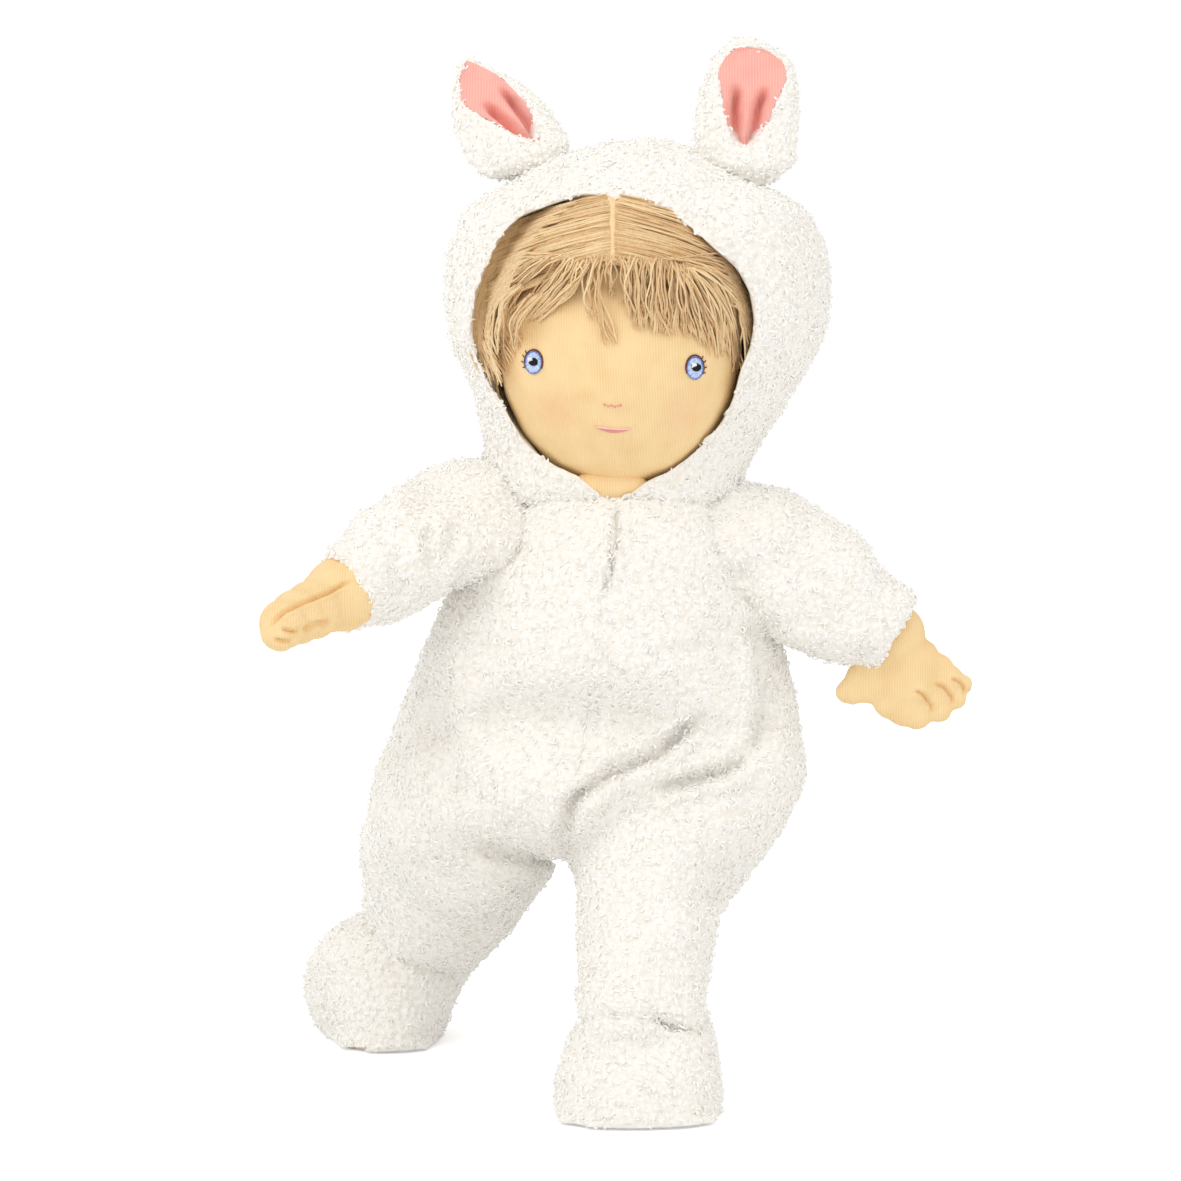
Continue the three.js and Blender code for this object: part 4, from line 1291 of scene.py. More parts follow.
@dataclass
class Bootie:
    """A plush bootie with its felt sole."""

    side: Side
    voxel: float = 2.8 * MM
    fill: float = 0.7
    ground: float = 1.0 * MM
    sink: float = 2.0 * MM
    sink_height: float = 14.0 * MM
    slack: float = 4.0 * MM
    bare_normals: tuple[float, float] = (-0.9, -0.6)
    bare_heights: tuple[float, float] = (0.6 * MM, 2.0 * MM)
    underside: float = -0.8
    sole_inset: float = 0.88
    sole_steps: int = 72
    sole_bevel: float = 0.5 * MM
    hem_depth: float = 5.0 * MM
    hem_fill: float = 0.58
    outlines: ClassVar[dict[Side, Outline]] = {
        Side.LEFT: outline(
            (1020, 580, 711), (1040, 566, 717), (1060, 560, 719), (1080, 555, 721), (1100, 553, 723),
            (1118, 553, 722), (1128, 558, 716), (1135, 566, 708),
        ),
        Side.RIGHT: outline(
            (940, 318, 488), (960, 305, 481), (980, 301, 467), (1000, 305, 456), (1020, 315, 447),
            (1035, 328, 441), (1048, 343, 431),
        ),
    }
    creases: ClassVar[dict[Side, tuple[Fold, ...]]] = {
        Side.LEFT: (Fold(((578, 1013), (610, 1018), (660, 1020), (712, 1024)), 2.2 * MM, 1.9 * MM),),
        Side.RIGHT: (),
    }

    def build(self, pile: CurlPile, wardrobe: Wardrobe) -> None:
        """Models the bootie and the sole under it."""
        foot_part = copy_node(self.side.node("bootie"), self.side.node("plush_bootie"), solid=True)
        bootie = weld(self.side.node("plush_bootie"), [foot_part, self.ankle()], self.voxel)
        smooth(bootie, rounds=7)
        subdivide(bootie)
        ripple(bootie, size=26.0 * MM, height=0.5 * MM, seed=self.side.seed(31))
        press(bootie, self.creases[self.side])
        foot = copy_node(self.side.node("foot_stuffing"), self.side.node("wool_foot"), solid=True)
        remesh(foot, self.voxel)
        fit([bootie, foot], self.outlines[self.side])
        put(foot, coords(foot) - normals(foot) * self.slack)
        shade_smooth(foot)
        leg = self.side.node("leg")
        wardrobe.hand_over(foot, STUFFING, [self.side.node("foot_stuffing")], leg)
        points = coords(bootie)
        points[:, 2] -= self.sink * smoothstep(self.sink_height, self.ground, points[:, 2])
        points[:, 2] = np.maximum(points[:, 2], self.ground)
        put(bootie, points)
        sole = self.sole_under(bootie)
        # The underside has no pile, and none is pressed into the floor
        share = smoothstep(*self.bare_normals, normals(bootie)[:, 2])
        share *= smoothstep(*self.bare_heights, points[:, 2])
        pile.raise_tufts(bootie, share)
        pile.cover(bootie, seed=self.side.seed(33))
        wardrobe.hand_over(bootie, PLUSH, [self.side.node("bootie")], leg)
        wardrobe.hand_over(sole, SOLE_CLOTH, [self.side.node("sole")], leg)

    def ankle(self) -> bpy.types.Object:
        """Models the top of the bootie, which fills the hem of the trouser leg."""
        hip = joint_point(self.side.node("leg_swing"))
        points = coords(frame["nodes"][self.side.node("trouser")]) - np.array(hip)
        hem = points[points[:, 2] < points[:, 2].min() + self.hem_depth]
        for _ in range(3):
            along = hem.mean(axis=0) / np.linalg.norm(hem.mean(axis=0))
            hem = points[points @ along > (points @ along).max() - self.hem_depth]
        middle = hem.mean(axis=0)
        radius = float(np.linalg.norm(hem - middle, axis=1).max()) * self.hem_fill
        return lump(Vector(middle) + hip, (radius, radius, radius))

    def sole_under(self, bootie: bpy.types.Object) -> bpy.types.Object:
        """Models the felt sole to the outline of the bootie's underside."""
        under = coords(bootie)[normals(bootie)[:, 2] < self.underside][:, :2]
        middle = (under.min(axis=0) + under.max(axis=0)) / 2.0
        turns = np.arange(self.sole_steps) * 2.0 * math.pi / self.sole_steps
        rays = np.stack([np.cos(turns), np.sin(turns)], axis=1)
        reach = ((under - middle) @ rays.T).max(axis=0)
        facing = rays @ rays.T
        least = 0.1
        bounds = np.where(facing > least, reach / np.maximum(facing, least), 1.0)
        radius = bounds.min(axis=1) * self.sole_inset
        bpy.ops.mesh.primitive_cylinder_add(vertices=self.sole_steps, end_fill_type="NGON")
        sole = bpy.context.object
        rename(sole, self.side.node("felt_sole"))
        points = coords(sole)
        turn = np.arctan2(points[:, 1], points[:, 0]) / (2.0 * math.pi)
        index = np.round(turn * self.sole_steps).astype(int) % self.sole_steps
        points[:, :2] = middle + rays[index] * radius[index, None]
        points[:, 2] = np.where(points[:, 2] > 0.0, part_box(self.side.node("sole"))[1].z, 0.0)
        put(sole, points)
        apply_modifier(sole, "BEVEL", width=self.sole_bevel, segments=2, limit_method="ANGLE")
        shade_smooth(sole)
        return sole


# Hood and ears


@dataclass
class Hood:
    """The plush hood: a full crown and a collar, open round the face.

    The opening is the line of its edge in the photograph.
    """

    voxel: float = 2.4 * MM
    set_from_head: Vector = Vector((5.0, 14.0, 4.0)) * MM
    radii: Radii = (67.5 * MM, 52.0 * MM, 64.5 * MM)
    collar_set: Vector = Vector((0.0, 6.0, 5.0)) * MM
    collar_radii: Radii = (46.0 * MM, 34.0 * MM, 22.0 * MM)
    silhouette: Outline = outline(
        (220, 459, 813), (240, 449, 824), (260, 445, 827), (280, 443, 829), (300, 444, 829),
        (320, 449, 828), (340, 453, 821), (360, 461, 812), (380, 467, 799), (400, 472, 787),
        (420, 476, 774), (440, 482, 762), (460, 486, 750), (480, 488, 742),
    )
    fill: float = 0.5
    bend_below: float = 8.0 * MM
    bend_above: float = 20.0 * MM
    clearance: float = 1.2 * MM
    lined_from: tuple[float, float] = (0.2, 0.6)
    surface: BVHTree | None = None
    opening: tuple[Pixel, ...] = (
        (613, 198), (584, 196), (552, 204), (521, 216), (505, 232), (490, 260), (476, 295), (471, 325),
        (474, 352), (486, 378), (499, 395), (509, 417), (521, 437), (537, 452), (558, 465), (578, 475),
        (592, 487), (612, 501), (628, 493), (645, 480), (674, 466), (699, 445), (721, 421), (733, 397),
        (741, 370), (752, 345), (756, 320), (750, 292), (736, 268), (713, 249), (690, 230), (666, 211),
        (645, 204),
    )

    def build(self, head: "Head", pile: CurlPile, wardrobe: Wardrobe) -> None:
        """Models the hood."""
        centre = node_middle("head_skin")
        crown = lump(centre + self.set_from_head, self.radii)
        collar = lump(joint_point("head_turn") + self.collar_set, self.collar_radii)
        hood = weld("plush_hood", [crown, collar], self.voxel)
        smooth(hood, rounds=18)
        fit([hood], self.silhouette)
        self.cut(hood, self.window(centre.y))
        self.cut(hood, twin(head.skin, "hood_cavity"))
        remesh(hood, self.voxel)
        smooth(hood, rounds=4)
        stand_off(hood, tree_of(head.skin), self.clearance)
        subdivide(hood)
        ripple(hood, size=30.0 * MM, height=0.8 * MM, seed=41)
        self.surface = tree_of(hood)
        # Inside, the hood has no tufts, and all of it takes the painted shade of the ground between them
        inward = np.array(centre) - coords(hood)
        inward /= np.linalg.norm(inward, axis=1, keepdims=True)
        outer = 1.0 - smoothstep(*self.lined_from, (normals(hood) * inward).sum(axis=1))
        pile.raise_tufts(hood, outer)
        pile.cover(hood, seed=43)
        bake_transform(hood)
        wardrobe.hand_over(hood, PLUSH, ["hood"])

    def cut(self, hood: bpy.types.Object, tool: bpy.types.Object) -> None:
        """Cuts a tool's shape out of the hood."""
        apply_modifier(hood, "BOOLEAN", operation="DIFFERENCE", object=tool, solver="EXACT")
        bpy.data.objects.remove(tool)

    def window(self, depth: float) -> bpy.types.Object:
        """The shape of the face opening, in front of one depth."""
        bpy.ops.mesh.primitive_cylinder_add(vertices=len(self.opening), end_fill_type="NGON")
        tool = bpy.context.object
        points = coords(tool)
        turns = np.arctan2(points[:, 0], points[:, 1])
        order = np.round(turns / (2.0 * math.pi) * len(self.opening)).astype(int) % len(self.opening)
        far_off = 120.0 * MM
        for index, point in enumerate(points):
            target = depth if point[2] > 0 else depth - far_off
            points[index] = PHOTO.at_depth(self.opening[-order[index]], target)
        put(tool, points)
        with editing(tool):
            bpy.ops.mesh.normals_make_consistent(inside=False)
        return tool


@dataclass
class Ear:
    """A plush ear, pinched at its root, with a pleated velour lining.

    Lengths run from the root along the ear, and the lining is a teardrop with its point down.
    """

    side: Side
    voxel: float = 1.5 * MM
    fill: float = 0.5
    lining_foot: float = 3.0 * MM
    border: float = 5.0 * MM
    lining_half: float = 12.6 * MM
    slot_depth: float = 7.5 * MM
    slot_half: float = 1.7 * MM
    dish: float = 1.6 * MM
    bed: float = 2.6 * MM
    cloth: float = 0.6 * MM
    inlay: float = 0.2 * MM
    clear_front: float = 30.0 * MM
    clear_drop: float = 24.0 * MM
    widest: float = 0.72
    columns: int = 56
    rows: int = 72
    lining_top: float = 0.0
    outlines: ClassVar[dict[Side, Outline]] = {
        Side.LEFT: outline(
            (40, 723, 770), (60, 710, 793), (80, 702, 798), (100, 697, 800), (120, 694, 801),
            (140, 693, 799), (160, 698, 798), (180, 704, 785),
        ),
        Side.RIGHT: outline(
            (62, 458, 478), (80, 454, 517), (100, 451, 543), (120, 451, 558), (140, 454, 569),
            (160, 460, 567), (180, 478, 562),
        ),
    }
    tops: ClassVar[dict[Side, float]] = {Side.LEFT: 36.0, Side.RIGHT: 57.0}

    def axes(self) -> tuple[Vector, Vector, Vector, Vector]:
        """Root, and the ways across, along and out of the front."""
        joint = self.side.node("ear_flop")
        root = joint_point(joint)
        across = Vector(JOINTS[joint]["axis"]).normalized()
        along = node_middle(self.side.node("ear")) - root
        along = (along - across * along.dot(across)).normalized()
        front = along.cross(across).normalized()
        if front.y > 0:
            front = -front
        return root, across, along, front

    def half_width(self, share: np.ndarray) -> np.ndarray:
        """Half width of the lining, from its point at 0 to its rounded top at 1."""
        opening = np.clip(share / self.widest, 0.0, 1.0) ** 0.8
        past = ((share - self.widest) / (1.0 - self.widest)).clip(0.0, 1.0)
        closing = np.sqrt(np.clip(1.0 - past**2, 0.0, 1.0))
        return self.lining_half * opening * closing

    def sunk(self, across: np.ndarray, share: np.ndarray) -> np.ndarray:
        """How deep the lining lies: a shallow dish with two slots beside the middle pleat."""
        slot_line = self.lining_half * (0.1 + 0.5 * share)
        slot_reach = smoothstep(0.0, 0.12, share) * (1.0 - smoothstep(0.5, 0.66, share))
        slot = np.exp(-(((np.abs(across) - slot_line) / self.slot_half) ** 2))
        half = np.maximum(self.half_width(share), 0.1 * MM)
        dish = self.dish * (1.0 - (np.abs(across) / half).clip(0.0, 1.0) ** 2)
        return dish + self.slot_depth * slot * slot_reach

    def chart(self, ear: bpy.types.Object) -> tuple[np.ndarray, np.ndarray]:
        """How far each point of the ear is across it, and its share of the lining's length."""
        root, across, along, _ = self.axes()
        points = coords(ear) - np.array(root)
        share = (points @ np.array(along) - self.lining_foot) / (self.lining_top - self.lining_foot)
        return points @ np.array(across), share

    def build(self, pile: CurlPile, wardrobe: Wardrobe) -> None:
        """Models the ear and its lining."""
        root, across, along, front = self.axes()
        ear = copy_node(self.side.node("ear"), self.side.node("plush_ear"), solid=True)
        self.lining_top = ((coords(ear) - np.array(root)) @ np.array(along)).max() - self.border
        remesh(ear, self.voxel)
        smooth(ear, rounds=3)
        s, share = self.chart(ear)
        facing = smoothstep(0.1, 0.5, normals(ear) @ np.array(front))
        inside = (share > 0.0) & (share < 1.0)
        rim = self.half_width(share.clip(0.0, 1.0))
        within = np.where(inside, smoothstep(0.0, 2.0 * MM, rim - np.abs(s)), 0.0)
        depth = (self.sunk(s, share.clip(0.0, 1.0)) + self.bed) * within * facing
        put(ear, coords(ear) - np.array(front) * depth[:, None])
        subdivide(ear)
        lining = self.line(root, across, along, front)
        s, share = self.chart(ear)
        rim = self.half_width(share.clip(0.0, 1.0))
        lined = (np.abs(s) < rim - 0.3 * MM) & (normals(ear) @ np.array(front) > 0.0)
        self.lower_top([ear, lining])
        fit([ear, lining], self.outlines[self.side])
        pile.raise_tufts(ear, np.where(lined, 0.0, 1.0))
        pile.cover(ear, seed=self.side.seed(51))
        body = self.side.node("ear")
        wardrobe.hand_over(ear, PLUSH, [body], body)
        wardrobe.hand_over(lining, VELOUR, [self.side.node("ear_lining")], body)

    def lower_top(self, pieces: Sequence[bpy.types.Object]) -> None:
        """Draws the ear down until its top is where the photograph has it."""
        foot = joint_point(self.side.node("ear_flop"))
        points = coords(pieces[0])
        pixels, span = PHOTO.pixels(points)
        highest = pixels[:, 1].argmin()
        drop = (self.tops[self.side] - pixels[highest, 1]) * span[highest]
        keep = 1.0 - drop / (points[highest, 2] - foot.z)
        for piece in pieces:
            points = coords(piece)
            points[:, 2] = foot.z + (points[:, 2] - foot.z) * keep
            put(piece, points)

    def line(self, root: Vector, across: Vector, along: Vector, front: Vector) -> bpy.types.Object:
        """Models the velour lining on the front of the ear."""
        bpy.ops.mesh.primitive_grid_add(x_subdivisions=self.columns, y_subdivisions=self.rows, size=2.0)
        lining = bpy.context.object
        rename(lining, self.side.node("velour_lining"))
        points = coords(lining)
        u = points[:, 0]
        share = (points[:, 1] + 1.0) / 2.0
        s = u * self.half_width(share)
        t = self.lining_foot + share * (self.lining_top - self.lining_foot)
        hull = copy_node(self.side.node("ear"), "ear_front", solid=True)
        tree = tree_of(hull)
        placed = np.empty_like(points)
        sunk = self.sunk(s, share)
        for index in range(len(points)):
            start = root + across * s[index] + along * t[index] + front * self.clear_front
            hit = tree.ray_cast(start, -front)[0]
            base = hit if hit is not None else start - front * self.clear_drop
            placed[index] = base - front * (sunk[index] + self.inlay)
        bpy.data.objects.remove(hull)
        put(lining, placed)
        smooth(lining, rounds=2)
        apply_modifier(lining, "SOLIDIFY", thickness=self.cloth, offset=-1.0)
        with editing(lining):
            bpy.ops.mesh.remove_doubles(threshold=0.05 * MM)
            bpy.ops.mesh.normals_make_consistent(inside=False)
        shade_smooth(lining)
        return lining


# Head


@dataclass
class Head:
    """The jersey head with its embroidered face, whose places and sizes are photo pixels."""

    voxel: float = 2.4 * MM
    fill: float = 0.95
    chin_drop: float = 0.05
    wale_turn: tuple[float, float, float] = (0.0, math.radians(2.0), math.radians(5.0))
    blush_pixels: tuple[Pixel, ...] = ((556, 410), (684, 413))
    left_eye: Pixel = (694.5, 368.0)
    right_eye: Pixel = (534.0, 362.5)
    eye_half: Pixel = (8.4, 11.6)
    iris_stitches: int = 46
    edge_stitches: int = 40
    flecks: int = 16
    pupil_stitches: int = 9
    pupil_set: Pixel = (0.9, -0.8)
    pupil_half: Pixel = (4.4, 6.0)
    glint_stitches: int = 4
    glint_set: Pixel = (-3.8, -6.0)
    lid_stitches: int = 34
    lid_sweep: float = 118.0
    lashes: tuple[tuple[float, float], ...] = ((48.0, 0.36), (68.0, 0.42), (90.0, 0.4), (112.0, 0.3))
    nose: Pixel = (611.5, 405.5)
    nose_row: tuple[Pixel, ...] = (
        (-8.0, -1.0), (-4.4, 0.4), (-1.0, -0.2), (2.2, 1.0), (5.4, 0.2), (8.2, -0.4),
    )
    mouth: Pixel = (613.0, 427.0)
    mouth_half: float = 18.0
    mouth_slant: float = 1.2
    lip_bows: tuple[float, float] = (1.4, 6.0)
    lip_stitches: int = 44
    skin: bpy.types.Object | None = None
    surface: BVHTree | None = None

    def build(self, wardrobe: Wardrobe) -> None:
        """Models the head, then sews the face on it."""
        skin = copy_node("head_skin", "jersey_head", solid=True)
        remesh(skin, self.voxel)
        smooth(skin, rounds=8)
        subdivide(skin)
        points = coords(skin)
        middle = points.mean(axis=0)[2]
        points[:, 2] += np.minimum(points[:, 2] - middle, 0.0) * self.chin_drop
        put(skin, points)
        shade_smooth(skin)
        self.skin = skin
        self.surface = tree_of(skin)
        spots = tuple(tuple(self.on_face(pixel)[0]) for pixel in self.blush_pixels)
        face = replace(BODY_JERSEY, name="knitted cotton jersey, face", turn=self.wale_turn, blush=spots)
        wardrobe.hand_over(skin, face, ["head_skin", "head_stuffing"], "head")
        for side, centre in ((Side.LEFT, self.left_eye), (Side.RIGHT, self.right_eye)):
            self.sew_eye(side, centre, wardrobe)
        self.sew_nose(wardrobe)
        self.sew_mouth(wardrobe)

    def on_face(self, pixel: Pixel) -> tuple[Vector, Vector]:
        """The place and normal where a pixel's ray meets the face."""
        hit, normal, _, _ = self.surface.ray_cast(PHOTO.eye, PHOTO.ray(pixel))
        return hit, normal

    def stitch(self, start: Pixel, end: Pixel, lift: float, points: int = 5) -> list[Vector]:
        """A stitch between two pixels, sunk at its ends and raised between them."""
        path = []
        for index in range(points):
            share = index / (points - 1)
            pixel = (start[0] + (end[0] - start[0]) * share, start[1] + (end[1] - start[1]) * share)
            hit, normal = self.on_face(pixel)
            path.append(hit + normal * (lift * math.sin(math.pi * share) ** 0.5 - 0.05 * MM))
        return path

    def sew(
        self,
        name: str,
        paths: list[list[Vector]],
        radius: float,
        finish: Finish,
        wardrobe: Wardrobe,
        node: str = "",
    ) -> None:
        """Makes stitches of one thread and puts them on the head.

        Args:
            name: name of the piece.
            paths: the stitches.
            radius: half thickness of the thread.
            finish: the thread.
            wardrobe: gives it its finish.
            node: the CAD node that it stands for, if there is one.
        """
        wardrobe.hand_over(strands(name, paths, radius), finish, [node] if node else [], "head")

    def sew_eye(self, side: Side, centre: Pixel, wardrobe: Wardrobe) -> None:
        """Sews one eye: iris, edge, pupil, glint, lid line and lashes."""
        x, y = centre
        rng = random.Random(side.seed(61))
        half_width, half_height = self.eye_half

        def around(angle: float, reach: float) -> Pixel:
            """The pixel at an angle from the top of the eye, that share of its radius out."""
            return (x + half_width * reach * math.sin(angle), y - half_height * reach * math.cos(angle))

        iris = []
        for index in range(self.iris_stitches):
            angle = 2.0 * math.pi * (index + rng.uniform(-0.3, 0.3)) / self.iris_stitches
            inner = rng.uniform(0.25, 0.45)
            iris.append(self.stitch(around(angle, inner), around(angle, rng.uniform(0.9, 1.0)), 0.45 * MM))
            angle += math.pi / self.iris_stitches
            iris.append(self.stitch(around(angle, 0.05), around(angle, rng.uniform(0.5, 0.75)), 0.4 * MM))
        self.sew(side.node("iris"), iris, 0.3 * MM, IRIS_THREAD, wardrobe, side.node("eye"))

        edge = []
        for index in range(self.edge_stitches):
            start = 2.0 * math.pi * index / self.edge_stitches
            edge.append(self.stitch(around(start, 0.99), around(start + 0.22, 0.93), 0.45 * MM, 4))
        for _ in range(self.flecks):
            angle = rng.uniform(0.0, 2.0 * math.pi)
            reach = rng.uniform(0.5, 0.66)
            edge.append(self.stitch(around(angle, reach), around(angle, reach + 0.2), 0.55 * MM, 4))
        self.sew(side.node("iris_edge"), edge, 0.2 * MM, IRIS_EDGE, wardrobe)

        pupil = []
        middle = (self.pupil_stitches - 1) / 2
        for index in range(self.pupil_stitches):
            offset = (index - middle) / (middle + 0.6)
            half = self.pupil_half[1] * math.sqrt(1.0 - offset * offset)
            column = x + self.pupil_set[0] + self.pupil_half[0] * offset
            row = y + self.pupil_set[1]
            pupil.append(self.stitch((column, row - half), (column, row + half), 0.85 * MM))
        self.sew(side.node("pupil_satin"), pupil, 0.26 * MM, PUPIL_THREAD, wardrobe, side.node("pupil"))

        glint = []
        for index in range(self.glint_stitches):
            column = x + self.glint_set[0] + 1.1 * index
            row = y + self.glint_set[1]
            ends = (column, row + 0.2 * index), (column + 0.5, row + 5.8 - 0.6 * index)
            glint.append(self.stitch(*ends, 1.15 * MM))
        self.sew(side.node("glint"), glint, 0.24 * MM, GLINT_THREAD, wardrobe)

        lid = []
        lift = 0.4 * MM
        for index in range(self.lid_stitches):
            start = math.radians(self.lid_sweep * (2.0 * index / self.lid_stitches - 1.0))
            thick = 1.05 + 0.03 * math.cos(start)
            lid.append(self.stitch(around(start, thick), around(start + 0.17, thick + 0.05), lift, 4))
            # The upper lid is sewn twice over
            if math.cos(start) > -0.1:
                over = around(start + 0.15, thick + 0.02)
                lid.append(self.stitch(around(start, thick + 0.07), over, lift, 4))
        for degrees, length in self.lashes:
            angle = side.sign * math.radians(degrees)
            tip = around(angle - side.sign * 0.08, 1.1 + length)
            lid.append(self.stitch(around(angle, 1.05), tip, lift))
        self.sew(side.node("lid_and_lashes"), lid, 0.2 * MM, LID_THREAD, wardrobe)

    def sew_nose(self, wardrobe: Wardrobe) -> None:
        """Sews the nose, a shallow row of small stitches."""
        x, y = self.nose
        dots = [
            self.stitch((x + a, y + b - 0.5), (x + a + 2.2, y + b + 0.6), 0.4 * MM, 4)
            for a, b in self.nose_row
        ]
        self.sew("nose_stitches", dots, 0.28 * MM, LIP_THREAD, wardrobe, "nose_stitch")

    def on_lip(self, share: float, bow: float) -> Pixel:
        """A pixel of the mouth, from its right corner at -1 to its left at 1, on a line of that bow."""
        x, y = self.mouth
        return (x + self.mouth_half * share, y + bow * (1.0 - share * share) + self.mouth_slant * share)

    def sew_mouth(self, wardrobe: Wardrobe) -> None:
        """Sews the mouth: a full lower lip under a pale line."""
        upper, lower = self.lip_bows
        shares = [-1.0 + 2.0 * (index + 0.5) / self.lip_stitches for index in range(self.lip_stitches)]
        lip = [self.stitch(self.on_lip(s, upper), self.on_lip(s, lower), 0.5 * MM, 4) for s in shares]
        self.sew("mouth_satin", lip, 0.2 * MM, LIP_THREAD, wardrobe, "mouth_stitch")
        pale = [
            self.stitch(self.on_lip(s - 0.04, upper), self.on_lip(s + 0.04, upper), 0.75 * MM, 4)
            for s in shares[1:-1]
        ]
        self.sew("mouth_line", pale, 0.2 * MM, PALE_LIP_THREAD, wardrobe)


@dataclass(frozen=True)
class Lock:
    """A few strands that fall together: where they root, bend and end, in photo pixels."""

    root: Pixel
    bend: Pixel
    tip: Pixel
    strands: int


@dataclass
class Hair:
    """The yarn wig with its centre parting, and the fringe sewn along its front.

    The parting and the reach of the strands from it are photo pixels.
    """

    head: Head
    parting: float = 612.5
    parting_top: float = 193.0
    reach: float = 137.0
    parting_foot: float = 264.0
    wig_strands: int = 150
    strand_steps: int = 14
    lock_steps: int = 15
    yarn: float = 0.33 * MM
    slope: float = 0.34
    wig_lift: tuple[float, float] = (3.6 * MM, 5.0 * MM)
    root_lift: float = 2.2 * MM
    lock_lift: tuple[float, float] = (4.5 * MM, 1.0 * MM)
    lock_puff: tuple[float, float] = (1.0 * MM, 5.0 * MM)
    cap_voxel: float = 2.2 * MM
    cap_slack: float = 2.0 * MM
    volume: float = 5.5 * MM
    puffed: BVHTree | None = None
    locks: tuple[Lock, ...] = (
        Lock((584, 262), (572, 286), (543, 317), 16),
        Lock((576, 259), (562, 282), (533, 315), 16),
        Lock((568, 258), (552, 278), (525, 311), 18),
        Lock((556, 257), (531, 272), (505, 311), 20),
        Lock((548, 256), (521, 268), (494, 304), 20),
        Lock((537, 256), (509, 268), (484, 307), 20),
        Lock((523, 257), (492, 276), (478, 321), 20),
        Lock((513, 259), (486, 282), (476, 331), 18),
        Lock((505, 262), (482, 294), (480, 347), 18),
        Lock((499, 268), (476, 311), (486, 368), 18),
        Lock((507, 278), (486, 323), (499, 380), 16),
        Lock((519, 286), (499, 319), (505, 360), 14),
        Lock((537, 294), (515, 321), (519, 345), 9),
        Lock((592, 258), (589, 294), (592, 321), 4),
        Lock((601, 257), (599, 302), (611, 339), 4),
        Lock((604, 266), (601, 311), (606, 348), 3),
        Lock((597, 257), (598, 274), (592, 294), 6),
        Lock((611, 257), (611, 276), (613, 294), 6),
        Lock((621, 258), (627, 282), (625, 300), 9),
        Lock((631, 258), (631, 282), (634, 311), 14),
        Lock((639, 258), (640, 290), (643, 326), 16),
        Lock((650, 259), (650, 294), (655, 330), 16),
        Lock((660, 260), (662, 298), (666, 332), 16),
        Lock((670, 261), (674, 294), (676, 330), 16),
        Lock((678, 262), (686, 296), (692, 334), 16),
        Lock((682, 264), (697, 300), (705, 343), 16),
        Lock((684, 266), (707, 302), (718, 351), 16),
        Lock((685, 266), (717, 300), (727, 356), 16),
        Lock((686, 266), (725, 298), (739, 366), 16),
        Lock((688, 265), (731, 290), (750, 341), 16),
        Lock((686, 263), (727, 280), (753, 319), 14),
        Lock((682, 262), (717, 272), (743, 294), 12),
        Lock((674, 260), (713, 264), (739, 278), 8),
        Lock((666, 258), (705, 259), (742, 258), 6),
    )

    def build(self, wardrobe: Wardrobe) -> None:
        """Models the cap, the strands over it and the fringe."""
        cap = copy_node("hair", "wig_cap")
        remesh(cap, self.cap_voxel)
        smooth(cap, rounds=4)
        put(cap, coords(cap) - normals(cap) * self.cap_slack)
        shade_smooth(cap)
        wardrobe.hand_over(cap, HAIR_YARN, ["hair"], "head")

        full = twin(self.head.skin, "full_head")
        put(full, coords(full) + normals(full) * self.volume)
        self.puffed = tree_of(full)
        bpy.data.objects.remove(full)
        wig = strands("wig_strands", self.wig_paths(), self.yarn)
        wardrobe.hand_over(wig, HAIR_YARN, body="head")
        fringe = strands("fringe_strands", self.fringe_paths(), self.yarn)
        wardrobe.hand_over(fringe, HAIR_YARN, ["fringe"], "head")

    def over(self, pixel: Pixel, lift: float) -> Vector:
        """A place that far over the head, in line with a pixel."""
        ray = PHOTO.ray(pixel)
        low = self.head.surface.ray_cast(PHOTO.eye, ray)[0]
        high = self.puffed.ray_cast(PHOTO.eye, ray)[0]
        if high is None:
            return PHOTO.at_depth(pixel, node_middle("head_skin").y - self.volume)
        if low is None:
            return high
        return low.lerp(high, lift / self.volume)

    def wig_paths(self) -> list[list[Vector]]:
        """Paths of the strands that lie sideways from the parting."""
        rng = random.Random(71)
        paths = []
        for side in (-1.0, 1.0):
            for index in range(self.wig_strands):
                share = (index + rng.uniform(-0.4, 0.4)) / self.wig_strands
                top = self.parting_top + (self.parting_foot - self.parting_top) * share
                slope = self.slope + rng.uniform(-0.05, 0.05)
                lift = rng.uniform(*self.wig_lift)
                path = []
                for step in range(self.strand_steps):
                    out = self.reach * step / (self.strand_steps - 1)
                    row = top + slope * out * (0.55 + 0.45 * out / self.reach) + rng.uniform(-0.5, 0.5)
                    rise = lift if step else self.root_lift
                    path.append(self.over((self.parting + side * (out - 1.0), row), rise))
                paths.append(path)
        return paths

    def fringe_paths(self) -> list[list[Vector]]:
        """Paths of the strands that hang over the forehead, lock by lock."""
        rng = random.Random(72)
        root_lift, tip_lift = self.lock_lift
        paths = []
        for lock in self.locks:
            for _ in range(lock.strands):
                root = np.array(lock.root) + (rng.uniform(-7.0, 7.0), rng.uniform(-3.0, 3.0))
                bend = np.array(lock.bend) + (rng.uniform(-6.0, 6.0), rng.uniform(-6.0, 6.0))
                tip = np.array(lock.tip) + (rng.uniform(-8.0, 8.0), rng.uniform(-9.0, 7.0))
                puff = rng.uniform(*self.lock_puff)
                crimp = rng.uniform(0.0, 2.0 * math.pi)
                path = []
                for step in range(self.lock_steps):
                    s = step / (self.lock_steps - 1)
                    # A curve that passes through the bend
                    pull = 2.0 * bend - (root + tip) / 2.0
                    place = (1.0 - s) ** 2 * root + 2.0 * s * (1.0 - s) * pull + s * s * tip
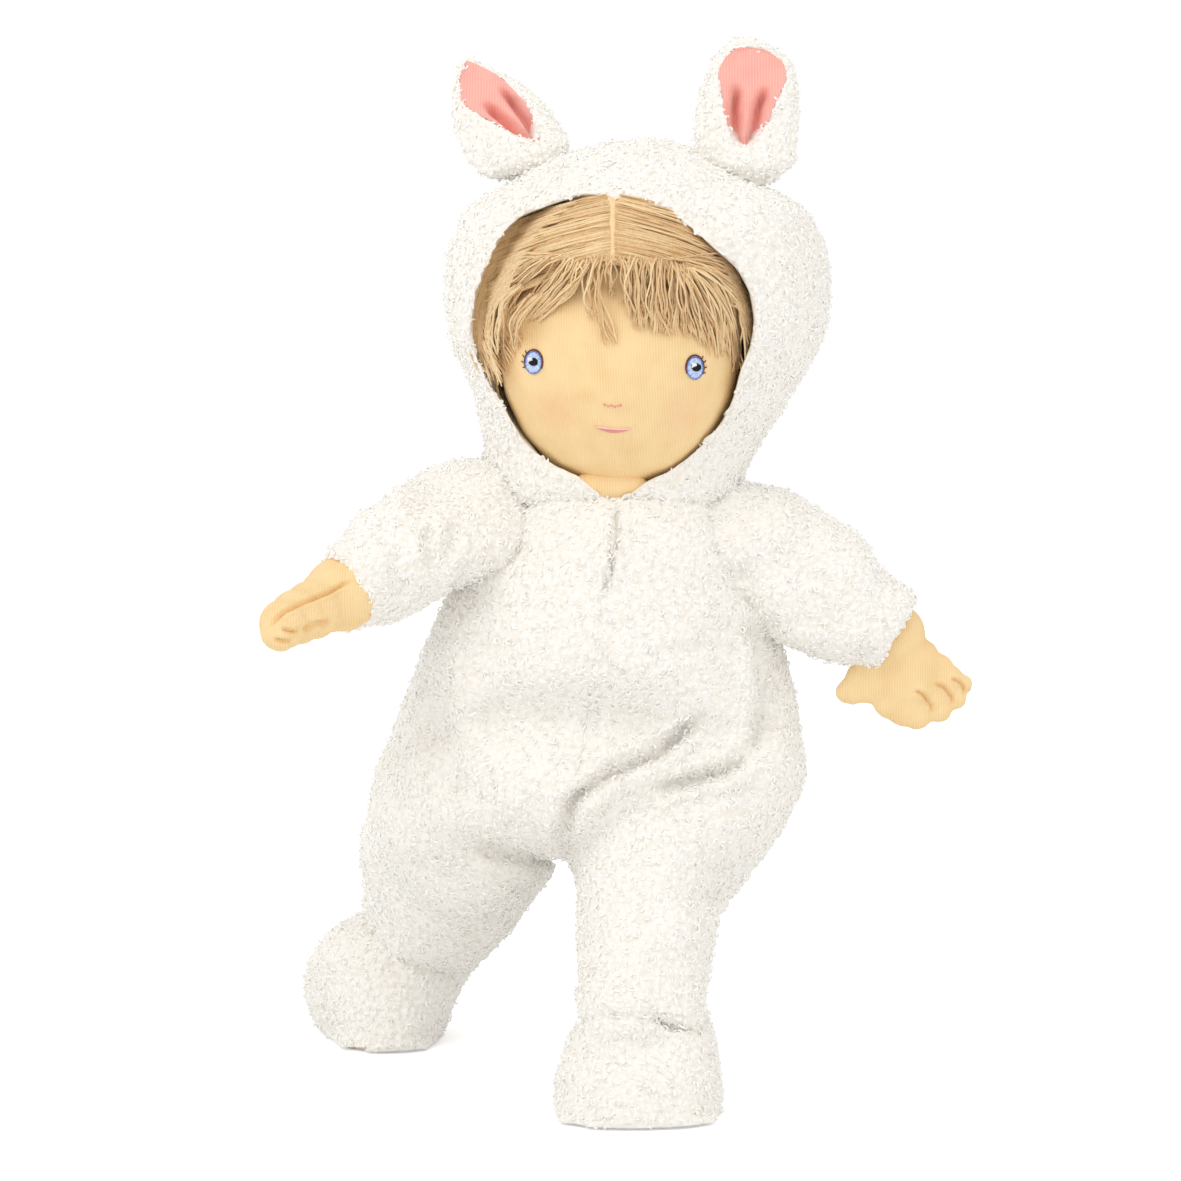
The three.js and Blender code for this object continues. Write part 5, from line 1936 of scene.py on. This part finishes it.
                    # A fine crimp, and a broad wave that grows to the tip
                    place[0] += 1.1 * math.sin(crimp + 12.0 * s)
                    place[0] += 2.2 * s * math.sin(2.0 * crimp + 5.0 * s)
                    swelling = puff * math.sin(math.pi * min(1.0, 0.15 + s))
                    lift = root_lift * (1.0 - s) + swelling + tip_lift
                    path.append(self.over(tuple(place), lift))
                paths.append(path)
        return paths


# Hands and inner pieces


@dataclass(frozen=True)
class Wad:
    """A lump of stuffing in a hand: its middle and radius in photo pixels."""

    middle: Pixel
    radius: float


STITCH_WIDTH = 0.7 * MM
STITCH_DEPTH = 1.8 * MM


@dataclass
class Hand:
    """A jersey hand, stuffed lump by lump, with stitched fingers.

    Flatness is its thickness towards the camera, as a share of what the photograph shows.
    """

    side: Side
    voxel: float = 1.1 * MM
    fill: float = 0.9
    flatness: ClassVar[dict[Side, float]] = {Side.LEFT: 0.62, Side.RIGHT: 0.85}
    wrist_radius: ClassVar[dict[Side, float]] = {Side.LEFT: 10.8 * MM, Side.RIGHT: 12.8 * MM}
    wads: ClassVar[dict[Side, tuple[Wad, ...]]] = {
        Side.LEFT: (
            Wad((884, 656), 32), Wad((905, 674), 36), Wad((886, 680), 27), Wad((868, 685), 19),
            Wad((853, 690), 15), Wad((847, 692), 12), Wad((892, 700), 20), Wad((905, 706), 21),
            Wad((917, 715), 15), Wad((927, 702), 17), Wad((939, 710), 13), Wad((940, 690), 17),
            Wad((955, 698), 12), Wad((948, 680), 16), Wad((963, 684), 10), Wad((862, 678), 17),
            Wad((922, 656), 17), Wad((938, 669), 16),
        ),
        Side.RIGHT: (
            Wad((350, 590), 31), Wad((330, 600), 33), Wad((312, 610), 30), Wad((297, 617), 28),
            Wad((284, 624), 25), Wad((279, 632), 19), Wad((281, 637), 15),
        ),
    }
    folds: ClassVar[dict[Side, tuple[Fold, ...]]] = {
        Side.LEFT: (
            Fold(((913, 690), (923, 695), (931, 705), (934, 716)), STITCH_WIDTH, STITCH_DEPTH),
            Fold(((934, 683), (945, 688), (952, 697), (954, 707)), STITCH_WIDTH, STITCH_DEPTH),
            Fold(((950, 678), (960, 682), (964, 688), (966, 695)), STITCH_WIDTH, STITCH_DEPTH),
        ),
        Side.RIGHT: (
            Fold(
                (
                    (360, 580), (342, 585), (330, 592), (318, 597), (305, 602),
                    (294, 607), (284, 612), (276, 620), (264, 635),
                ),
                STITCH_WIDTH,
                STITCH_DEPTH,
            ),
            Fold(((281, 628), (291, 632), (299, 632)), STITCH_WIDTH, STITCH_DEPTH),
            Fold(((273, 639), (283, 642), (293, 640)), STITCH_WIDTH, STITCH_DEPTH),
            Fold(((302, 631), (318, 623), (332, 623)), 1.0 * MM, STITCH_DEPTH),
        ),
    }

    def build(self, wardrobe: Wardrobe) -> None:
        """Models the hand."""
        tie = node_middle(self.side.node("wrist_tie"))
        middle = node_middle(self.side.node("hand"))
        ends, spans = PHOTO.pixels(np.array([tie, middle]))
        reach = np.linalg.norm(ends[1] - ends[0])
        parts = [lump(tie, (self.wrist_radius[self.side],) * 3)]
        for wad in self.wads[self.side]:
            share = np.linalg.norm(np.array(wad.middle) - ends[0]) / reach
            place = PHOTO.at_depth(wad.middle, tie.y + (middle.y - tie.y) * share)
            radius = wad.radius * spans[1]
            parts.append(lump(place, (radius, radius * self.flatness[self.side], radius)))
        hand = weld(self.side.node("jersey_hand"), parts, self.voxel)
        smooth(hand, rounds=5)
        subdivide(hand)
        press(hand, self.folds[self.side])
        shade_smooth(hand)
        nodes = [self.side.node("hand"), self.side.node("wrist_tie")]
        wardrobe.hand_over(hand, BODY_JERSEY, nodes, self.side.node("arm"))


@dataclass
class Inside:
    """The neck, and the pieces that the suit hides.

    Slack is how far the plush presses a stuffed limb in.
    """

    slack: float = 3.0 * MM
    limb_voxel: float = 2.4 * MM
    limb_fill: float = 0.8
    neck_voxel: float = 1.4 * MM
    neck_fill: float = 0.95
    notch: Pixel = (610.0, 484.0)
    hood_edge: tuple[Pixel, ...] = ((574.0, 484.0), (654.0, 484.0))
    notch_radii: Radii = (13.0 * MM, 5.0 * MM, 5.5 * MM)
    finishes: ClassVar[tuple[tuple[tuple[str, ...], Finish], ...]] = (
        (("stuffing",), STUFFING),
        (("tape",), TAPE),
        (("tie",), SEWING_THREAD),
        (("skin", "gather", "flap", "hand"), BODY_JERSEY),
        (("sole",), SOLE_CLOTH),
        (("hair", "fringe"), HAIR_YARN),
        (("lining",), VELOUR),
        (("eye",), IRIS_THREAD),
        (("pupil",), PUPIL_THREAD),
        (("stitch",), LIP_THREAD),
    )

    def neck(self, hood: BVHTree, wardrobe: Wardrobe) -> None:
        """Models the neck, which shows in the notch of the hood under the chin."""
        roll = copy_node("neck_stuffing", "jersey_neck", solid=True)
        edge = max(hood.ray_cast(PHOTO.eye, PHOTO.ray(pixel))[0].y for pixel in self.hood_edge)
        notch = PHOTO.at_depth(self.notch, edge + self.notch_radii[1])
        neck = weld("jersey_neck", [roll, lump(notch, self.notch_radii)], self.neck_voxel)
        smooth(neck, rounds=4)
        shade_smooth(neck)
        wardrobe.hand_over(neck, BODY_JERSEY, ["neck_stuffing"], "neck")

    def limb(self, side: Side, name: str, wardrobe: Wardrobe) -> None:
        """Models one stuffed limb inside the suit."""
        skin = copy_node(side.node(f"{name}_skin"), side.node(f"jersey_{name}"), solid=True)
        remesh(skin, self.limb_voxel)
        smooth(skin, rounds=4)
        put(skin, coords(skin) - normals(skin) * self.slack)
        shade_smooth(skin)
        nodes = [side.node(f"{name}_skin"), side.node(f"{name}_stuffing")]
        wardrobe.hand_over(skin, BODY_JERSEY, nodes, side.node(name))

    def build(self, wardrobe: Wardrobe) -> None:
        """Models the limbs and gives every hidden node its finish."""
        for side in Side:
            for name in ("arm", "leg"):
                self.limb(side, name, wardrobe)
        for name, node in frame["nodes"].items():
            finishes = (finish for endings, finish in self.finishes if name.endswith(endings))
            wardrobe.dress(node, next(finishes, PLUSH))


# Studio


@dataclass
class Studio:
    """A white sweep under soft light, seen from where the photograph was taken."""

    floor_half: float = 3.0
    key_place: Vector = Vector((-0.75, -1.0, 1.25))
    key_size: float = 0.9
    key_power: float = 6.5
    fill_place: Vector = Vector((0.95, -0.9, 0.7))
    fill_size: float = 1.1
    fill_power: float = 2.0
    lit_middle: Vector = Vector((0.0, 0.0, 0.19))
    sensor: float = 36.0
    sky: float = 0.82
    floor_glow: float = 0.3

    def build(self) -> None:
        """Sets the floor, the light and the camera."""
        bpy.ops.mesh.primitive_plane_add(size=2.0 * self.floor_half, location=(0.0, 0.0, 0.0))
        floor = bpy.context.object
        floor.name = "floor"
        floor.data.materials.append(self.paper())
        self.lamp("key", self.key_place, self.key_size, self.key_power)
        self.lamp("fill", self.fill_place, self.fill_size, self.fill_power)
        self.world()
        camera = bpy.data.cameras.new("camera")
        camera.sensor_width = self.sensor
        camera.lens = PHOTO.focal / PHOTO.size * camera.sensor_width
        stand = bpy.data.objects.new("camera", camera)
        bpy.context.scene.collection.objects.link(stand)
        stand.location = PHOTO.eye
        stand.rotation_euler = (math.radians(90.0) + PHOTO.pitch, 0.0, 0.0)
        bpy.context.scene.camera = stand
        bpy.context.scene.view_settings.view_transform = "Standard"

    def paper(self) -> bpy.types.Material:
        """White paper that the camera sees as white, with the doll's shadow on it."""
        material = bpy.data.materials.new("white paper sweep")
        material.use_nodes = True
        tree = material.node_tree
        place = add_node(tree, "ShaderNodeTexCoord", {}).outputs["Object"]
        tooth = add_node(tree, "ShaderNodeTexNoise", {"Vector": place, "Scale": 400.0})
        tone = add_node(
            tree,
            "ShaderNodeMix",
            {0: tooth.outputs[0], 6: linear("#FFFFFF"), 7: linear("#FDFDFD")},
            data_type="RGBA",
        )
        shader = tree.nodes["Principled BSDF"]
        shader.inputs["Roughness"].default_value = 0.9
        tree.links.new(tone.outputs[2], shader.inputs["Base Color"])
        seen = add_node(tree, "ShaderNodeLightPath", {}).outputs["Is Camera Ray"]
        glow = add_node(tree, "ShaderNodeMath", {0: seen, 1: self.floor_glow}, operation="MULTIPLY")
        shader.inputs["Emission Color"].default_value = linear("#FFFFFF")
        tree.links.new(glow.outputs[0], shader.inputs["Emission Strength"])
        return material

    def lamp(self, name: str, place: Vector, size: float, power: float) -> None:
        """A square soft lamp that looks at the doll's middle."""
        light = bpy.data.lights.new(name, "AREA")
        light.size = size
        light.energy = power
        stand = bpy.data.objects.new(name, light)
        bpy.context.scene.collection.objects.link(stand)
        stand.location = place
        stand.rotation_euler = (self.lit_middle - place).to_track_quat("-Z", "Y").to_euler()

    def world(self) -> None:
        """An even white surround that shows as white and lights more gently."""
        world = bpy.data.worlds.new("white studio")
        bpy.context.scene.world = world
        world.use_nodes = True
        tree = world.node_tree
        seen = add_node(tree, "ShaderNodeLightPath", {}).outputs["Is Camera Ray"]
        strength = add_node(tree, "ShaderNodeMapRange", {0: seen, 1: 0.0, 2: 1.0, 3: self.sky, 4: 1.0})
        tree.nodes["Background"].inputs["Color"].default_value = linear("#FFFFFF")
        tree.links.new(strength.outputs[0], tree.nodes["Background"].inputs["Strength"])


def main() -> None:
    """Builds the doll piece by piece, then the studio."""
    wardrobe = Wardrobe()
    pile = CurlPile()
    pile.build()
    inside = Inside()
    inside.build(wardrobe)
    head = Head()
    head.build(wardrobe)
    Hair(head).build(wardrobe)
    suit = Suit()
    suit.dress(suit.build(pile), pile, wardrobe)
    for side in Side:
        Sleeve(side).build(pile, wardrobe)
    for side in Side:
        Bootie(side).build(pile, wardrobe)
        Ear(side).build(pile, wardrobe)
    for side in Side:
        Hand(side).build(wardrobe)
    hood = Hood()
    hood.build(head, pile, wardrobe)
    inside.neck(hood.surface, wardrobe)
    pile.clear()
    Studio().build()


if __name__ == "__main__":
    main()
